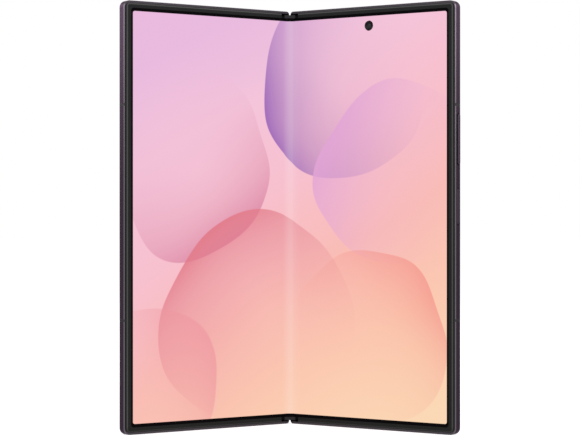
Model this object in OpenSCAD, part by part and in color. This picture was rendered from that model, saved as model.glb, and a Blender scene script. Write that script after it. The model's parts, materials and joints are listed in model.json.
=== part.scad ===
// Book-style foldable phone, half open and standing on the bottom edges of its two halves.
// X runs across the fold, +Y to the back, +Z up along the fold line. Lengths are in millimetres.
// Each half is drawn flat, its fold line at x = 0, its front plane at y = 0 and x growing outwards,
// and is then turned about its own fold axis. The left half is a mirror image of that frame.

/* [Body] */
// Height along the fold line
phone_h = 158.4; // [150:0.2:166]
// Width of one half, from the fold line to its side wall
half_w = 71.6; // [69:0.2:78]
// Thickness of one half, from the bezel's front to the back glass
body_t = 4.2; // [4.2:0.05:4.6]
// Turn of each half from flat, in degrees
rest_turn = 32.25; // [10:0.25:80]
// Radius of the frame's outer corners
corner_r = 2.5; // [2:0.1:4]
// Rounding of the frame's back edge
back_edge_r = 0.6; // [0.4:0.05:0.9]
// Chamfer of the frame's front edge
edge_chamfer = 0.35; // [0.2:0.05:0.5]
// How far the bezel stands in front of the metal
metal_front = 0.1; // [0.05:0.05:0.2]
// Thickness of the side wall behind the bezel
side_wall = 1.6; // [1.4:0.05:2]
// Thickness of the top and bottom walls behind the bezel
end_wall = 1.8; // [1.6:0.05:2.2]
// Thickness of the mid-deck
deck_t = 0.35; // [0.3:0.05:0.45]
// Width of the solid metal beside the hinge, from the fold line
hinge_wall_x = 9.4; // [9:0.1:11]

/* [Hinge] */
// Distance of each fold axis from the fold line
axis_x = 1.325; // [1.25:0.025:1.4]
// Gap left between the two bezels when closed
closed_gap = 0.5; // [0.3:0.05:0.6]
// Outer radius of the spine about each fold axis
spine_r = 2.525; // [2.475:0.025:2.6]
// Wall thickness of the spine
spine_wall = 0.35; // [0.3:0.05:0.4]
// Front edge of the spine's side walls
spine_front = 1.5; // [1.5:0.05:1.7]
// Running gap between the spine and the halves
run_gap = 0.1; // [0.08:0.01:0.15]
// Thickness of the end walls beside the fold
tip_wall = 1.3; // [1.1:0.05:1.5]
// Distance of those walls' noses from the fold line
tip_x = 0.25; // [0.15:0.05:0.4]
// How far the slope on a nose runs outwards
tip_run = 1.1; // [0.6:0.05:1.2]
// End of the noses' full thickness, from the fold line
tip_end = 3.1; // [2.8:0.05:3.5]
// Gap between the frame's end walls and the spine's ends
spine_end_gap = 0.1; // [0.08:0.02:0.3]
// Half width of the hinge's end caps
cap_half = 2.2; // [2:0.05:2.3]

/* [Hinge modules] */
// Distance of each bracket's middle from the phone's middle
module_off = 46; // [30:1:60]
// Front face of the brackets
bracket_front = 0.95; // [0.9:0.05:1]
// Shaft position across the hinge
shaft_x = 2.15; // [2.1:0.01:2.2]
// Shaft position in depth
shaft_y = 1.9; // [1.88:0.01:1.95]
// Shaft radius
shaft_r = 0.4; // [0.35:0.01:0.42]
// Idler shaft radius
idler_r = 0.35; // [0.3:0.01:0.37]
// Radial clearance of shafts in their bores
bore_gap = 0.03; // [0.02:0.005:0.04]
// Number of teeth on each gear
teeth = 10; // [8:2:10]
// Width of the gears
gear_w = 1.2; // [0.8:0.1:1.2]
// Thickness of the bracket's bearing walls
bearing_t = 1.3; // [1.2:0.05:1.5]
// Width of arms and rotators along the fold
arm_w = 3; // [2.4:0.1:3.4]
// Side clearance of gears, arms and rotators
side_gap = 0.05; // [0.04:0.01:0.1]
// Depth range of arm and rotator plates
plate_t = 0.45; // [0.4:0.01:0.46]
// Reach of arm and rotator plates from the fold line
plate_reach = 8; // [7.6:0.1:8.6]
// Inner radius of the rotator rails about the fold axis
rail_r = 1.25; // [1.2:0.01:1.28]
// Thickness of the rotator rails
rail_t = 0.5; // [0.4:0.02:0.52]
// Arc of the rotator rails in degrees
rail_arc = 155; // [130:1:160]

/* [Screen] */
// Width of the metal seen beside the bezel
side_rail = 0.5; // [0.4:0.05:0.7]
// Width of the metal seen above and below the bezel
end_rail = 0.9; // [0.9:0.05:1.2]
// Width of the bezel's side
bezel_side = 2.5; // [2:0.05:3]
// Width of the bezel's ends
bezel_end = 1.8; // [1.5:0.05:2.2]
// Where the bezels stop beside the fold
bezel_x = 4.07; // [4.05:0.01:4.4]
// Bezel's outer corner radius
bezel_r = 1.8; // [1.6:0.05:2]
// Chamfer of the bezel's outer edge
bezel_lip = 0.2; // [0.1:0.05:0.3]
// Depth of the screen behind the bezel's front
screen_in = 0.25; // [0.2:0.01:0.28]
// Thickness of the flexible screen
screen_t = 0.6; // [0.5:0.01:0.6]
// Half width of the bending zone
fold_half = 4; // [3.8:0.1:4.05]
// Distance of the inner camera from the fold line
eye_x = 35.1; // [30:0.1:60]
// Distance of the inner camera below the top
eye_drop = 7.3; // [6.9:0.1:9]
// Radius of the inner camera's hole in the screen
eye_r = 1.95; // [1.7:0.05:2.1]

/* [Back] */
// Thickness of the back and cover glass
glass_t = 0.4; // [0.35:0.05:0.5]
// Metal left round the glass
glass_rim = 0.8; // [0.7:0.05:1.1]
// Start of the glass beside the hinge
glass_x = 3; // [2.8:0.1:4]
// Gap round pieces set into the frame
fit_gap = 0.05; // [0.03:0.01:0.08]
// Half width of the camera island
island_r = 8.5; // [8:0.1:9]
// Distance of the island's middle line from the side wall
island_in = 12.1; // [11.6:0.1:14]
// Distance of the top lens from the top of the phone
lens_drop = 18; // [14:0.5:20]
// Distance between lenses
lens_pitch = 15.5; // [14.4:0.1:16]
// Height of the island above the glass
island_h = 1.8; // [1.2:0.1:2.4]
// Outer radius of the lens rings
lens_ring_r = 6.4; // [6:0.1:6.8]
// Radius of the lens glasses
lens_r = 4.6; // [4.2:0.1:5]

/* [Keys, port and tray] */
// Distance of the volume key's middle below the top
volume_z = 50.6; // [47:0.1:53]
// Length of the volume key
volume_len = 18.5; // [16:0.5:20]
// Distance of the power key's middle below the top
power_z = 75.1; // [72:0.1:77]
// Length of the power key
power_len = 13; // [11:0.5:14]
// Width of the keys
key_w = 1.9; // [1.7:0.05:2]
// How far the volume key stands proud
key_proud = 0.3; // [0.2:0.05:0.4]
// Travel of the volume key
volume_travel = 0.25; // [0.15:0.05:0.25]
// Gap round the keys
key_gap = 0.08; // [0.05:0.01:0.12]
// Distance of the charging port from the fold line
port_x = 37; // [28:0.5:40]
// Width of the port's opening
port_w = 8.4; // [8.34:0.02:8.6]
// Height of the port's opening
port_t = 2.5; // [2.45:0.01:2.52]
// Depth of the port
port_d = 7; // [6:0.1:8]
// Distance of the card tray from the fold line
tray_x = 24; // [20:0.5:40]
// Width of the card tray
tray_w = 11; // [10.6:0.1:12]
// Length of the card tray
tray_len = 18; // [16:0.5:20]
// Antenna breaks above the bottom of the phone
antenna_low = 41.8; // [30:0.1:50]
// Antenna breaks below the top of the phone
antenna_drop = 38; // [34:0.1:39]
// Width of the antenna breaks
antenna_w = 1; // [0.8:0.1:1.4]
// Distance of the speakers' first hole from the side wall
speaker_in = 24.6; // [20:0.2:28]
// Distance between speaker holes
speaker_pitch = 2.2; // [1.6:0.1:2.3]
// Distance of the bottom microphone from the port
mic_off = 9; // [7:0.5:12]

/* [Inside] */
// Thickness of the batteries
battery_t = 2.2; // [2:0.05:2.2]
// Height of the right half's battery
right_battery_h = 50; // [40:1:52]
// Height of the left half's battery
left_battery_h = 104; // [90:1:108]
// Height of the space for the parts below the right battery
low_parts_h = 21; // [17:0.5:21]
// Height of the space for the parts above the left battery
top_parts_h = 20; // [16:0.5:22]
// Free length between the batteries and those parts
battery_gap = 3; // [2:0.5:4]
// Width of the speaker modules
speaker_w = 15; // [13:0.5:17]
// Width of the vibration motor
motor_w = 10; // [8:0.5:12]
// Length of the vibration motor
motor_len = 14; // [10:0.5:14]
// Thickness of the circuit boards
board_t = 0.6; // [0.5:0.05:0.8]
// Outer radius of the charging coil
coil_r = 20; // [16:0.5:22]
// Length of a closing magnet
magnet_len = 9; // [6:0.5:10]
// Width of a closing magnet
magnet_w = 2; // [1.6:0.1:2.4]

/* [Hidden] */
$fn = 64;
eps = 0.01;
big = 1;

metal = [0.27, 0.235, 0.265];
trim_dark = [0.15, 0.155, 0.155];
steel = [0.55, 0.55, 0.57];
board_green = [0.1, 0.3, 0.2];
screen_pink = [0.93, 0.74, 0.8];
glass_dark = [0.12, 0.1, 0.12];

// Depths, front to back
axis_y = axis_x - closed_gap / 2;
deck_front = screen_in + screen_t;
deck_back = deck_front + deck_t;
glass_front = body_t - glass_t;
mid_y = (deck_back + glass_front) / 2 - 0.1;

// Hinge section
pocket_r = spine_r + run_gap;
hinge_half = axis_x + pocket_r;
spine_back = axis_y + spine_r;
spine_in_r = spine_r - spine_wall;
lip_x = run_gap / 2;
nose_r = axis_x - tip_x;
spine_low = tip_wall + spine_end_gap;
spine_len = phone_h - 2 * spine_low;
plate_back = bracket_front + plate_t;
gear_r = shaft_x / 3;
tooth_m = 2 * gear_r / teeth;
module_heights = [phone_h / 2 - module_off, phone_h / 2 + module_off];

// Places along a hinge module, from its middle
end_play = 0.1;
rail_wall = bearing_t + 0.2;
bracket_end = 1.2;
shaft_cover = 0.35;
washer_off = 0.8;
gear_half = gear_w / 2 + 3 * side_gap;
arm_low = gear_half + bearing_t;
arm_high = arm_low + arm_w + 2 * side_gap;
rail_low = arm_high + rail_wall;
rail_high = rail_low + arm_w + 2 * side_gap;
bracket_half = rail_high + bracket_end;
washer_far = rail_low - bearing_t - washer_off;
shaft_end = rail_low - shaft_cover;
idler_end = arm_low - 2 * end_play;

// Screen and bezel outlines
bezel_out_x = half_w - side_rail;
bezel_in_x = bezel_out_x - bezel_side;
bezel_in_z = end_rail + bezel_end;
screen_x = bezel_in_x - fit_gap;
screen_z = bezel_in_z + fit_gap;
screen_r = 1.1;
eye_z = phone_h - eye_drop;

// Inner space of each half
cavity_x = half_w - side_wall;
island_x = half_w - island_in;
top_lens_z = phone_h - lens_drop;
lens_heights = [top_lens_z, top_lens_z - lens_pitch, top_lens_z - 2 * lens_pitch];
antenna_heights = [antenna_low, phone_h - antenna_drop];
volume_mid = phone_h - volume_z;
power_mid = phone_h - power_z;
board_front = deck_back + 1;
board_back = board_front + board_t;
battery_back = deck_back + battery_t;
part_gap = 0.4;
content_x = hinge_wall_x + part_gap;
flange_t = 0.5;
flange_front = cavity_x - fit_gap - flange_t;

// Where a point of the right half lies in depth once it is turned about its fold axis
function turned_x(x, y) = axis_x + (x - axis_x) * cos(rest_turn) + (y - axis_y) * sin(rest_turn);
function turned_y(x, y) = axis_y - (x - axis_x) * sin(rest_turn) + (y - axis_y) * cos(rest_turn);
front_y = min(
    turned_y(half_w, metal_front + edge_chamfer),
    turned_y(half_w - edge_chamfer, metal_front),
    turned_y(bezel_out_x, 0),
    0
);
rear_y = max(turned_y(lip_x, body_t), spine_back);
middle_y = (front_y + rear_y) / 2;

// ---------- placing ----------

module hinge_frame() {
    translate([0, -middle_y, 0]) children();
}

module right_half() {
    hinge_frame() translate([axis_x, axis_y, 0]) rotate([0, 0, -rest_turn])
        translate([-axis_x, -axis_y, 0]) children();
}

module left_half() {
    hinge_frame() mirror([1, 0, 0]) translate([axis_x, axis_y, 0]) rotate([0, 0, -rest_turn])
        translate([-axis_x, -axis_y, 0]) children();
}

// An arm turns with its half, but about its shaft
module right_arm() {
    hinge_frame() translate([shaft_x, shaft_y, 0]) rotate([0, 0, -rest_turn])
        translate([-shaft_x, -shaft_y, 0]) children();
}

module left_arm() {
    hinge_frame() mirror([1, 0, 0]) translate([shaft_x, shaft_y, 0]) rotate([0, 0, -rest_turn])
        translate([-shaft_x, -shaft_y, 0]) children();
}

// Same thing at the bottom and at the top
module at_ends() {
    children();
    translate([0, 0, phone_h]) mirror([0, 0, 1]) children();
}

module at_modules() {
    for (z = module_heights) translate([0, 0, z]) children();
}

// ---------- shared shapes ----------

// A front-view outline made a plate from depth y0 to y1
module plate(y0, y1) {
    translate([0, y1, 0]) rotate([90, 0, 0]) linear_extrude(y1 - y0) children();
}

// A side-view outline, depth first and height second, extruded outwards from x0 to x1
module side_plate(x0, x1) {
    translate([x0, 0, 0]) rotate([90, 0, 90]) linear_extrude(x1 - x0) children();
}

module block(x0, x1, y0, y1, z0, z1) {
    translate([x0, y0, z0]) cube([x1 - x0, y1 - y0, z1 - z0]);
}

// Rectangle whose two outer corners are round
module outer_round(x0, x1, z0, z1, r) {
    translate([x0, z0]) square([x1 - r - x0, z1 - z0]);
    translate([x0, z0 + r]) square([x1 - x0, z1 - z0 - 2 * r]);
    for (z = [z0 + r, z1 - r]) translate([x1 - r, z]) circle(r = r);
}

module round_rect(x0, x1, z0, z1, r) {
    translate([x0 + r, z0]) square([x1 - x0 - 2 * r, z1 - z0]);
    translate([x0, z0 + r]) square([x1 - x0, z1 - z0 - 2 * r]);
    for (x = [x0 + r, x1 - r], z = [z0 + r, z1 - r]) translate([x, z]) circle(r = r);
}

// Slot outline w by t, centred, long in x
module slot_outline(w, t) {
    translate([-(w - t) / 2, -t / 2]) square([w - t, t]);
    for (side = [-1, 1]) translate([side * (w - t) / 2, 0]) circle(r = t / 2);
}

// Round bar along the depth, from y0 to y1
module y_bar(x, z, y0, y1, r) {
    translate([x, y1, z]) rotate([90, 0, 0]) cylinder(r = r, h = y1 - y0);
}

// The same with two radii, r0 at y0 and r1 at y1
module y_cone(x, z, y0, y1, r0, r1) {
    translate([x, y1, z]) rotate([90, 0, 0]) cylinder(r1 = r1, r2 = r0, h = y1 - y0);
}

// ---------- hinge ----------

// Space inside radius r about both fold axes, closed by a flat back
module spine_outline(r, front) {
    intersection() {
        union() {
            for (side = [-1, 1]) translate([side * axis_x, axis_y]) circle(r = r);
            translate([-axis_x, axis_y]) square([2 * axis_x, r]);
        }
        translate([-axis_x - r, front]) square([2 * (axis_x + r), axis_y + r - front]);
    }
}

module spine_cover() {
    color(metal) hinge_frame() difference() {
        translate([0, 0, spine_low]) linear_extrude(spine_len) difference() {
            spine_outline(spine_r, spine_front);
            spine_outline(spine_in_r, axis_y);
        }
        at_modules() for (z = screw_places())
            y_bar(0, z, spine_back - spine_wall - eps, spine_back - spine_wall / 2, screw_r + fit_gap);
    }
}

module hinge_end_caps() {
    color(trim_dark) hinge_frame() at_ends()
        translate([0, 0, spine_low]) linear_extrude(bezel_in_z - spine_low - 2 * fit_gap) {
            spine_outline(spine_in_r - fit_gap, bracket_front);
            round_cap();
        }
}

// The part of an end cap that shows between the bezels
module round_cap() {
    cap_r = 0.3;
    cap_front = 0.05;
    translate([-cap_half, cap_front + cap_r]) square([2 * cap_half, axis_y - cap_front]);
    translate([-cap_half + cap_r, cap_front]) square([2 * (cap_half - cap_r), axis_y]);
    for (side = [-1, 1])
        translate([side * (cap_half - cap_r), cap_front + cap_r]) circle(r = cap_r);
}

screw_r = 0.35;
screw_head_r = 0.6;
screw_head_t = 0.25;
function screw_places() = [-(washer_far + rail_low) / 2, (arm_high + rail_low) / 2];

// One bracket: bearing walls for shafts and idlers, with pockets for gears, arms, washers and rails
module bracket() {
    difference() {
        translate([0, 0, -bracket_half]) linear_extrude(2 * bracket_half)
            spine_outline(spine_in_r - fit_gap / 2, bracket_front);
        // gear pocket
        block(-hinge_half, hinge_half, 0, shaft_y + gear_r + tooth_m + fit_gap, -gear_half, gear_half);
        // arm pocket
        block(-hinge_half, hinge_half, 0, shaft_y + hub_r + run_gap, arm_low, arm_high);
        // washer pockets
        for (side = [-1, 1])
            translate([side * shaft_x, shaft_y, -washer_far])
                cylinder(r = washer_r + fit_gap, h = washer_far - arm_low);
        for (side = [-1, 1])
            translate([side * shaft_x - (washer_r + fit_gap), 0, -washer_far])
                cube([2 * (washer_r + fit_gap), shaft_y, washer_far - arm_low]);
        // bores
        for (side = [-1, 1]) {
            translate([side * shaft_x, shaft_y, -shaft_end - end_play])
                cylinder(r = shaft_r + bore_gap, h = 2 * (shaft_end + end_play));
            translate([side * gear_r, shaft_y, -idler_end - end_play])
                cylinder(r = idler_r + bore_gap, h = 2 * (idler_end + end_play));
        }
        // rail grooves: right rail above, left rail below
        translate([0, 0, rail_low]) rail_groove();
        mirror([1, 0, 0]) translate([0, 0, -rail_high]) rail_groove();
        for (z = screw_places()) {
            y_bar(0, z, 0, spine_back, screw_r + fit_gap);
            y_bar(0, z, 0, bracket_front + screw_head_t, screw_head_r + fit_gap);
        }
    }
}

hub_r = 0.62;
washer_r = 0.8;
rail_gap = 0.05;

// Curved slot that a rotator's rail runs in, open towards its half
module rail_groove() {
    linear_extrude(rail_high - rail_low) {
        translate([axis_x, axis_y]) difference() {
            circle(r = rail_r + rail_t + rail_gap);
            circle(r = rail_r - rail_gap);
            // the groove ends a little past the rail's flat position
            rotate([0, 0, rail_arc + 4]) square(hinge_half);
        }
        translate([axis_x + rail_r - rail_gap, 0])
            square([spine_r, plate_back + rail_gap]);
    }
}

module hinge_brackets() {
    color(steel) hinge_frame() at_modules() bracket();
}

module bracket_screws() {
    color("silver") hinge_frame() at_modules() for (z = screw_places()) {
        y_bar(0, z, bracket_front, spine_back - spine_wall / 2 - fit_gap, screw_r);
        y_bar(0, z, bracket_front, bracket_front + screw_head_t, screw_head_r);
    }
}

// Spur gear with straight-sided teeth, centred on z = 0
module gear(first_tooth) {
    root_r = gear_r - 1.05 * tooth_m;
    tip_r = gear_r + 0.75 * tooth_m;
    root_half = 0.8 * tooth_m;
    tip_half = 0.28 * tooth_m;
    translate([0, 0, -gear_w / 2]) linear_extrude(gear_w) {
        circle(r = root_r);
        for (i = [0:teeth - 1]) rotate([0, 0, first_tooth + i * 360 / teeth])
            polygon([[root_r * 0.8, -root_half], [tip_r, -tip_half],
                     [tip_r, tip_half], [root_r * 0.8, root_half]]);
    }
}

// Shaft with its gear, in the bracket's frame
module geared_shaft(first_tooth) {
    translate([shaft_x, shaft_y, 0]) {
        translate([0, 0, -shaft_end]) cylinder(r = shaft_r, h = 2 * shaft_end);
        gear(first_tooth);
    }
}

module right_shafts() {
    color("silver") hinge_frame() at_modules() geared_shaft(180 / teeth - rest_turn);
}

module left_shafts() {
    color("silver") hinge_frame() at_modules() mirror([1, 0, 0])
        geared_shaft(180 - rest_turn);
}

module idler(first_tooth) {
    translate([gear_r, shaft_y, 0]) {
        translate([0, 0, -idler_end]) cylinder(r = idler_r, h = 2 * idler_end);
        gear(first_tooth);
    }
}

module right_idlers() {
    color("silver") hinge_frame() at_modules() idler(rest_turn);
}

module left_idlers() {
    color("silver") hinge_frame() at_modules() mirror([1, 0, 0]) idler(180 / teeth + rest_turn);
}

// Stack of friction washers on a shaft
module washers() {
    count = 4;
    step = (washer_far - arm_low - 2 * side_gap) / count;
    for (i = [0:count - 1])
        translate([shaft_x, shaft_y, -washer_far + side_gap + i * step]) difference() {
            cylinder(r = washer_r, h = step * 0.8);
            translate([0, 0, -big]) cylinder(r = shaft_r + bore_gap, h = step + 2 * big);
        }
}

module right_washers() {
    color("dimgray") hinge_frame() at_modules() washers();
}

module left_washers() {
    color("dimgray") hinge_frame() at_modules() mirror([1, 0, 0]) washers();
}

// Torque arm: a hub on the shaft and a flat blade that slides in its half
module arm() {
    translate([0, 0, arm_low + side_gap]) difference() {
        linear_extrude(arm_w) {
            translate([shaft_x, shaft_y]) circle(r = hub_r);
            polygon([
                [shaft_x - hub_r * 0.7, shaft_y - hub_r * 0.5], [shaft_x + 0.45, bracket_front],
                [plate_reach, bracket_front], [plate_reach, plate_back],
                [shaft_x + 1.1, plate_back], [shaft_x + hub_r * 0.9, shaft_y - 0.1]
            ]);
        }
        translate([shaft_x, shaft_y, -big]) cylinder(r = shaft_r, h = arm_w + 2 * big);
    }
}

module right_arms() {
    color(steel) right_arm() at_modules() arm();
}

module left_arms() {
    color(steel) left_arm() at_modules() arm();
}

// Rotator: a curved rail about the fold axis and a plate screwed to its half
rotator_screw_x = plate_reach - 1.7;
module rotator() {
    difference() {
        linear_extrude(arm_w) {
            translate([axis_x, axis_y]) intersection() {
                difference() {
                    circle(r = rail_r + rail_t);
                    circle(r = rail_r);
                }
                union() {
                    square(hinge_half);
                    rotate([0, 0, rail_arc - 90]) square(hinge_half);
                }
            }
            translate([axis_x + rail_r, bracket_front])
                square([plate_reach - axis_x - rail_r, plate_t]);
        }
        y_bar(rotator_screw_x, arm_w / 2, 0, plate_back + big, screw_r + fit_gap);
        y_bar(rotator_screw_x, arm_w / 2, 0, bracket_front + screw_head_t, screw_head_r + fit_gap);
    }
}

module rotator_screw() {
    y_bar(rotator_screw_x, arm_w / 2, bracket_front, plate_back + 1, screw_r);
    y_bar(rotator_screw_x, arm_w / 2, bracket_front, bracket_front + screw_head_t, screw_head_r);
}

right_rail_z = rail_low + side_gap;
left_rail_z = -rail_high + side_gap;

module right_rotators() {
    color(steel) right_half() at_modules() translate([0, 0, right_rail_z]) rotator();
}

module left_rotators() {
    color(steel) left_half() at_modules() translate([0, 0, left_rail_z]) rotator();
}

module right_rotator_screws() {
    color("silver") right_half() at_modules() translate([0, 0, right_rail_z]) rotator_screw();
}

module left_rotator_screws() {
    color("silver") left_half() at_modules() translate([0, 0, left_rail_z]) rotator_screw();
}

// ---------- frames ----------

// Section through the frame's outer edge: outwards in x, front to back in y
module edge_profile() {
    difference() {
        union() {
            translate([0, metal_front])
                square([corner_r, body_t - metal_front - back_edge_r]);
            translate([0, metal_front])
                square([corner_r - back_edge_r, body_t - metal_front]);
            translate([corner_r - back_edge_r, body_t - back_edge_r]) circle(r = back_edge_r);
        }
        chamfer_section(corner_r, metal_front, edge_chamfer);
    }
}

// What a chamfer takes off the front edge of a section that ends at x = r and starts at depth front
module chamfer_section(r, front, width) {
    polygon([
        [r - width - big, front - big], [r + big, front - big], [r + big, front + width + big]
    ]);
}

// Runs a section along the side and both ends of a half, round corners of radius r.
// The section is drawn outwards in x from the corners' centre line, front to back in y.
module edge_sweep(x0, x1, low, r) {
    translate([x1 - r, 0, low + r]) linear_extrude(phone_h - 2 * (low + r)) children();
    at_ends() {
        translate([x0, 0, low + r]) rotate([0, 90, 0]) linear_extrude(x1 - r - x0) children();
        translate([x1 - r, 0, low + r]) rotate([-90, 0, 0]) rotate_extrude(angle = 90) children();
    }
}

// One half as a solid slab with its edges finished
module slab() {
    edge_sweep(lip_x, half_w, 0, corner_r) edge_profile();
    translate([lip_x, metal_front, corner_r])
        cube([half_w - corner_r - lip_x, body_t - metal_front, phone_h - 2 * corner_r]);
}

// Everything that the spine and the fold need, in section
module hinge_section() {
    translate([axis_x, axis_y]) circle(r = pocket_r);
    translate([-big, -big]) square([axis_x + big, axis_y + pocket_r + big]);
    translate([-big, -big]) square([axis_x + pocket_r + big, axis_y + big]);
}

// Cuts the nose of an end wall beside the fold: round about the fold axis, so that the halves
// clear each other at every turn, and sloping towards the end of the phone
lip_notch = 0.3;
nose_top = tip_wall + lip_notch;
module tip_cut() {
    slope = tip_run / tip_wall;
    slope_top = tip_wall + lip_notch / 2;
    translate([0, 0, -big]) linear_extrude(nose_top + big) difference() {
        translate([-big, -big]) square([axis_x + big, body_t + 2 * big]);
        translate([axis_x, axis_y]) circle(r = nose_r);
        translate([tip_x, axis_y]) square([axis_x, body_t + 2 * big]);
    }
    plate(-big, body_t + big) polygon([
        [-big, -big], [tip_x + tip_run + slope * big, -big],
        [tip_x + tip_run - slope * slope_top, slope_top], [-big, slope_top]
    ]);
}

module frame_blank() {
    difference() {
        slab();
        // bed of the bezel and the screen, with a slope on the noses instead of its step
        plate(-big, deck_front) difference() {
            outer_round(-big, bezel_out_x, end_rail, phone_h - end_rail, bezel_r);
            for (z = [0, phone_h - nose_top])
                translate([-2 * big, z]) square([2 * big + tip_end, nose_top]);
        }
        at_ends() side_plate(-big, tip_end + fit_gap) polygon([
            [metal_front - big, end_rail - big], [metal_front - big, nose_top],
            [metal_front + nose_top - end_rail, nose_top]
        ]);
        // hinge pocket
        translate([0, 0, tip_wall]) linear_extrude(phone_h - 2 * tip_wall) hinge_section();
        at_ends() tip_cut();
        // space for the parts inside
        plate(deck_back, body_t + big)
            round_rect(hinge_wall_x, cavity_x, end_wall, phone_h - end_wall, 1.2);
        // bed of the back glass
        plate(glass_front, body_t + big) glass_outline(0);
        // arm and rotator recesses
        at_modules() arm_pocket();
    }
}

module glass_outline(gap) {
    round_rect(glass_x + gap, half_w - glass_rim - gap, glass_rim + gap,
        phone_h - glass_rim - gap, corner_r - glass_rim);
}

// Arms slide towards the fold and dip while the half turns, so their pocket is deeper
arm_dip = 0.42;
module arm_pocket() {
    block(0, plate_reach + 0.3, 0, plate_back + arm_dip + run_gap, arm_low, arm_high);
}

// Seat of a rotator's plate, with its screw hole
module rotator_seat(z) {
    translate([0, 0, z]) {
        block(0, plate_reach + fit_gap, 0, plate_back, -fit_gap, arm_w + fit_gap);
        y_bar(rotator_screw_x, arm_w / 2, 0, plate_back + 1 + fit_gap, screw_r + fit_gap);
    }
}

module antenna_cuts() {
    for (z = antenna_heights)
        block(half_w - antenna_depth, half_w + big, -big, body_t + big,
            z - antenna_w / 2, z + antenna_w / 2);
}

antenna_depth = 0.75;
module antenna_bands() {
    intersection() {
        difference() {
            slab();
            plate(-big, deck_front)
                outer_round(-big, bezel_out_x, end_rail, phone_h - end_rail, bezel_r);
        }
        antenna_cuts();
    }
}

// Round openings through an end wall
module wall_hole(x, r, end) {
    z0 = end == "bottom" ? -big : phone_h - end_wall - big;
    translate([x, mid_y, z0]) cylinder(r = r, h = end_wall + 2 * big);
}

speaker_r = 0.55;
speaker_count = 6;
speaker_x = half_w - speaker_in;
module speaker_holes(end) {
    for (i = [0:speaker_count - 1]) wall_hole(speaker_x + i * speaker_pitch, speaker_r, end);
}

// Case of the speaker behind those holes, from z0 to z1
speaker_case_x = speaker_x + (speaker_count - 1) * speaker_pitch / 2 - speaker_w / 2;
module speaker_case(z0, z1) {
    round_rect(speaker_case_x, speaker_case_x + speaker_w, z0, z1, 1);
}

module key_slot(z, len) {
    side_plate(cavity_x - big, half_w + big) translate([mid_y, z]) rotate([0, 0, 90])
        slot_outline(len + 2 * key_gap, key_w + 2 * key_gap);
}

mic_r = 0.4;
top_mic_off = 6;
module right_frame() {
    color(metal) right_half() difference() {
        frame_blank();
        at_modules() rotator_seat(right_rail_z);
        antenna_cuts();
        key_slot(volume_mid, volume_len);
        key_slot(power_mid, power_len);
        y_bar(eye_x, eye_z, 0, deck_back + big, eye_barrel_r + fit_gap);
        translate([port_x, mid_y, -big])
            linear_extrude(port_d + port_back + fit_gap + big)
                slot_outline(port_w + 2 * (port_wall + fit_gap), port_t + 2 * (port_wall + fit_gap));
        speaker_holes("bottom");
        wall_hole(port_x - mic_off, mic_r, "bottom");
        wall_hole(port_x + top_mic_off, mic_r, "top");
    }
}

module left_frame() {
    color(metal) left_half() difference() {
        frame_blank();
        at_modules() rotator_seat(left_rail_z);
        antenna_cuts();
        // card tray's opening and the recess of its head
        translate([tray_x, mid_y, -big]) linear_extrude(end_wall + 2 * big)
            square([tray_w + 2 * key_gap, tray_t + 2 * key_gap], center = true);
        translate([tray_x, mid_y, -big]) linear_extrude(tray_head_t + fit_gap + big)
            slot_outline(tray_w + tray_edge + 2 * key_gap, tray_head_w + 2 * key_gap);
        speaker_holes("top");
        wall_hole(port_x + top_mic_off, mic_r, "bottom");
    }
}

module right_antenna_bands() {
    color([0.2, 0.17, 0.2]) right_half() antenna_bands();
}

module left_antenna_bands() {
    color([0.2, 0.17, 0.2]) left_half() antenna_bands();
}

// ---------- screen and bezels ----------

module bezel() {
    x1 = bezel_out_x - fit_gap;
    low = end_rail + fit_gap;
    r = bezel_r - fit_gap;
    difference() {
        plate(0, deck_front) difference() {
            outer_round(bezel_x, x1, low, phone_h - low, r);
            outer_round(-big, bezel_in_x, bezel_in_z, phone_h - bezel_in_z, screen_r + fit_gap);
        }
        edge_sweep(bezel_x - big, x1, low, r) chamfer_section(r, 0, bezel_lip);
    }
}

module right_bezel() {
    color(trim_dark) right_half() bezel();
}

module left_bezel() {
    color(trim_dark) left_half() bezel();
}

module screen_panel() {
    plate(screen_in, deck_front)
        outer_round(fold_half, screen_x, screen_z, phone_h - screen_z, screen_r);
}

module right_display() {
    color(screen_pink) right_half() difference() {
        screen_panel();
        y_bar(eye_x, eye_z, 0, deck_back, eye_r);
    }
}

module left_display() {
    color(screen_pink) left_half() screen_panel();
}

// The bending zone is an arc that leaves both halves without a kink
module display_fold() {
    edge_x = turned_x(fold_half, screen_in);
    edge_y = turned_y(fold_half, screen_in);
    bend_r = edge_x / sin(rest_turn);
    color(screen_pink) hinge_frame() translate([0, edge_y - bend_r * cos(rest_turn), screen_z])
        linear_extrude(phone_h - 2 * screen_z) intersection() {
            difference() {
                circle(r = bend_r + screen_t, $fn = 180);
                circle(r = bend_r, $fn = 180);
            }
            polygon([[0, 0], [2 * bend_r * sin(rest_turn), 2 * bend_r * cos(rest_turn)],
                     [-2 * bend_r * sin(rest_turn), 2 * bend_r * cos(rest_turn)]]);
        }
}

// ---------- right half, inside and back ----------

battery_low = low_parts_h + battery_gap;
battery_r = 1.5;
battery_x = cavity_x - 2.2;
module right_battery() {
    color([0.2, 0.2, 0.22]) right_half() plate(deck_back, battery_back)
        round_rect(content_x, battery_x, battery_low, battery_low + right_battery_h, battery_r);
}

coil_t = 0.3;
coil_x = (content_x + battery_x) / 2;
coil_z = battery_low + right_battery_h / 2;
module charging_coil() {
    color("peru") right_half() difference() {
        y_bar(coil_x, coil_z, battery_back, battery_back + coil_t, coil_r);
        y_bar(coil_x, coil_z, 0, body_t, coil_r * 0.5);
    }
}

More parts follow.
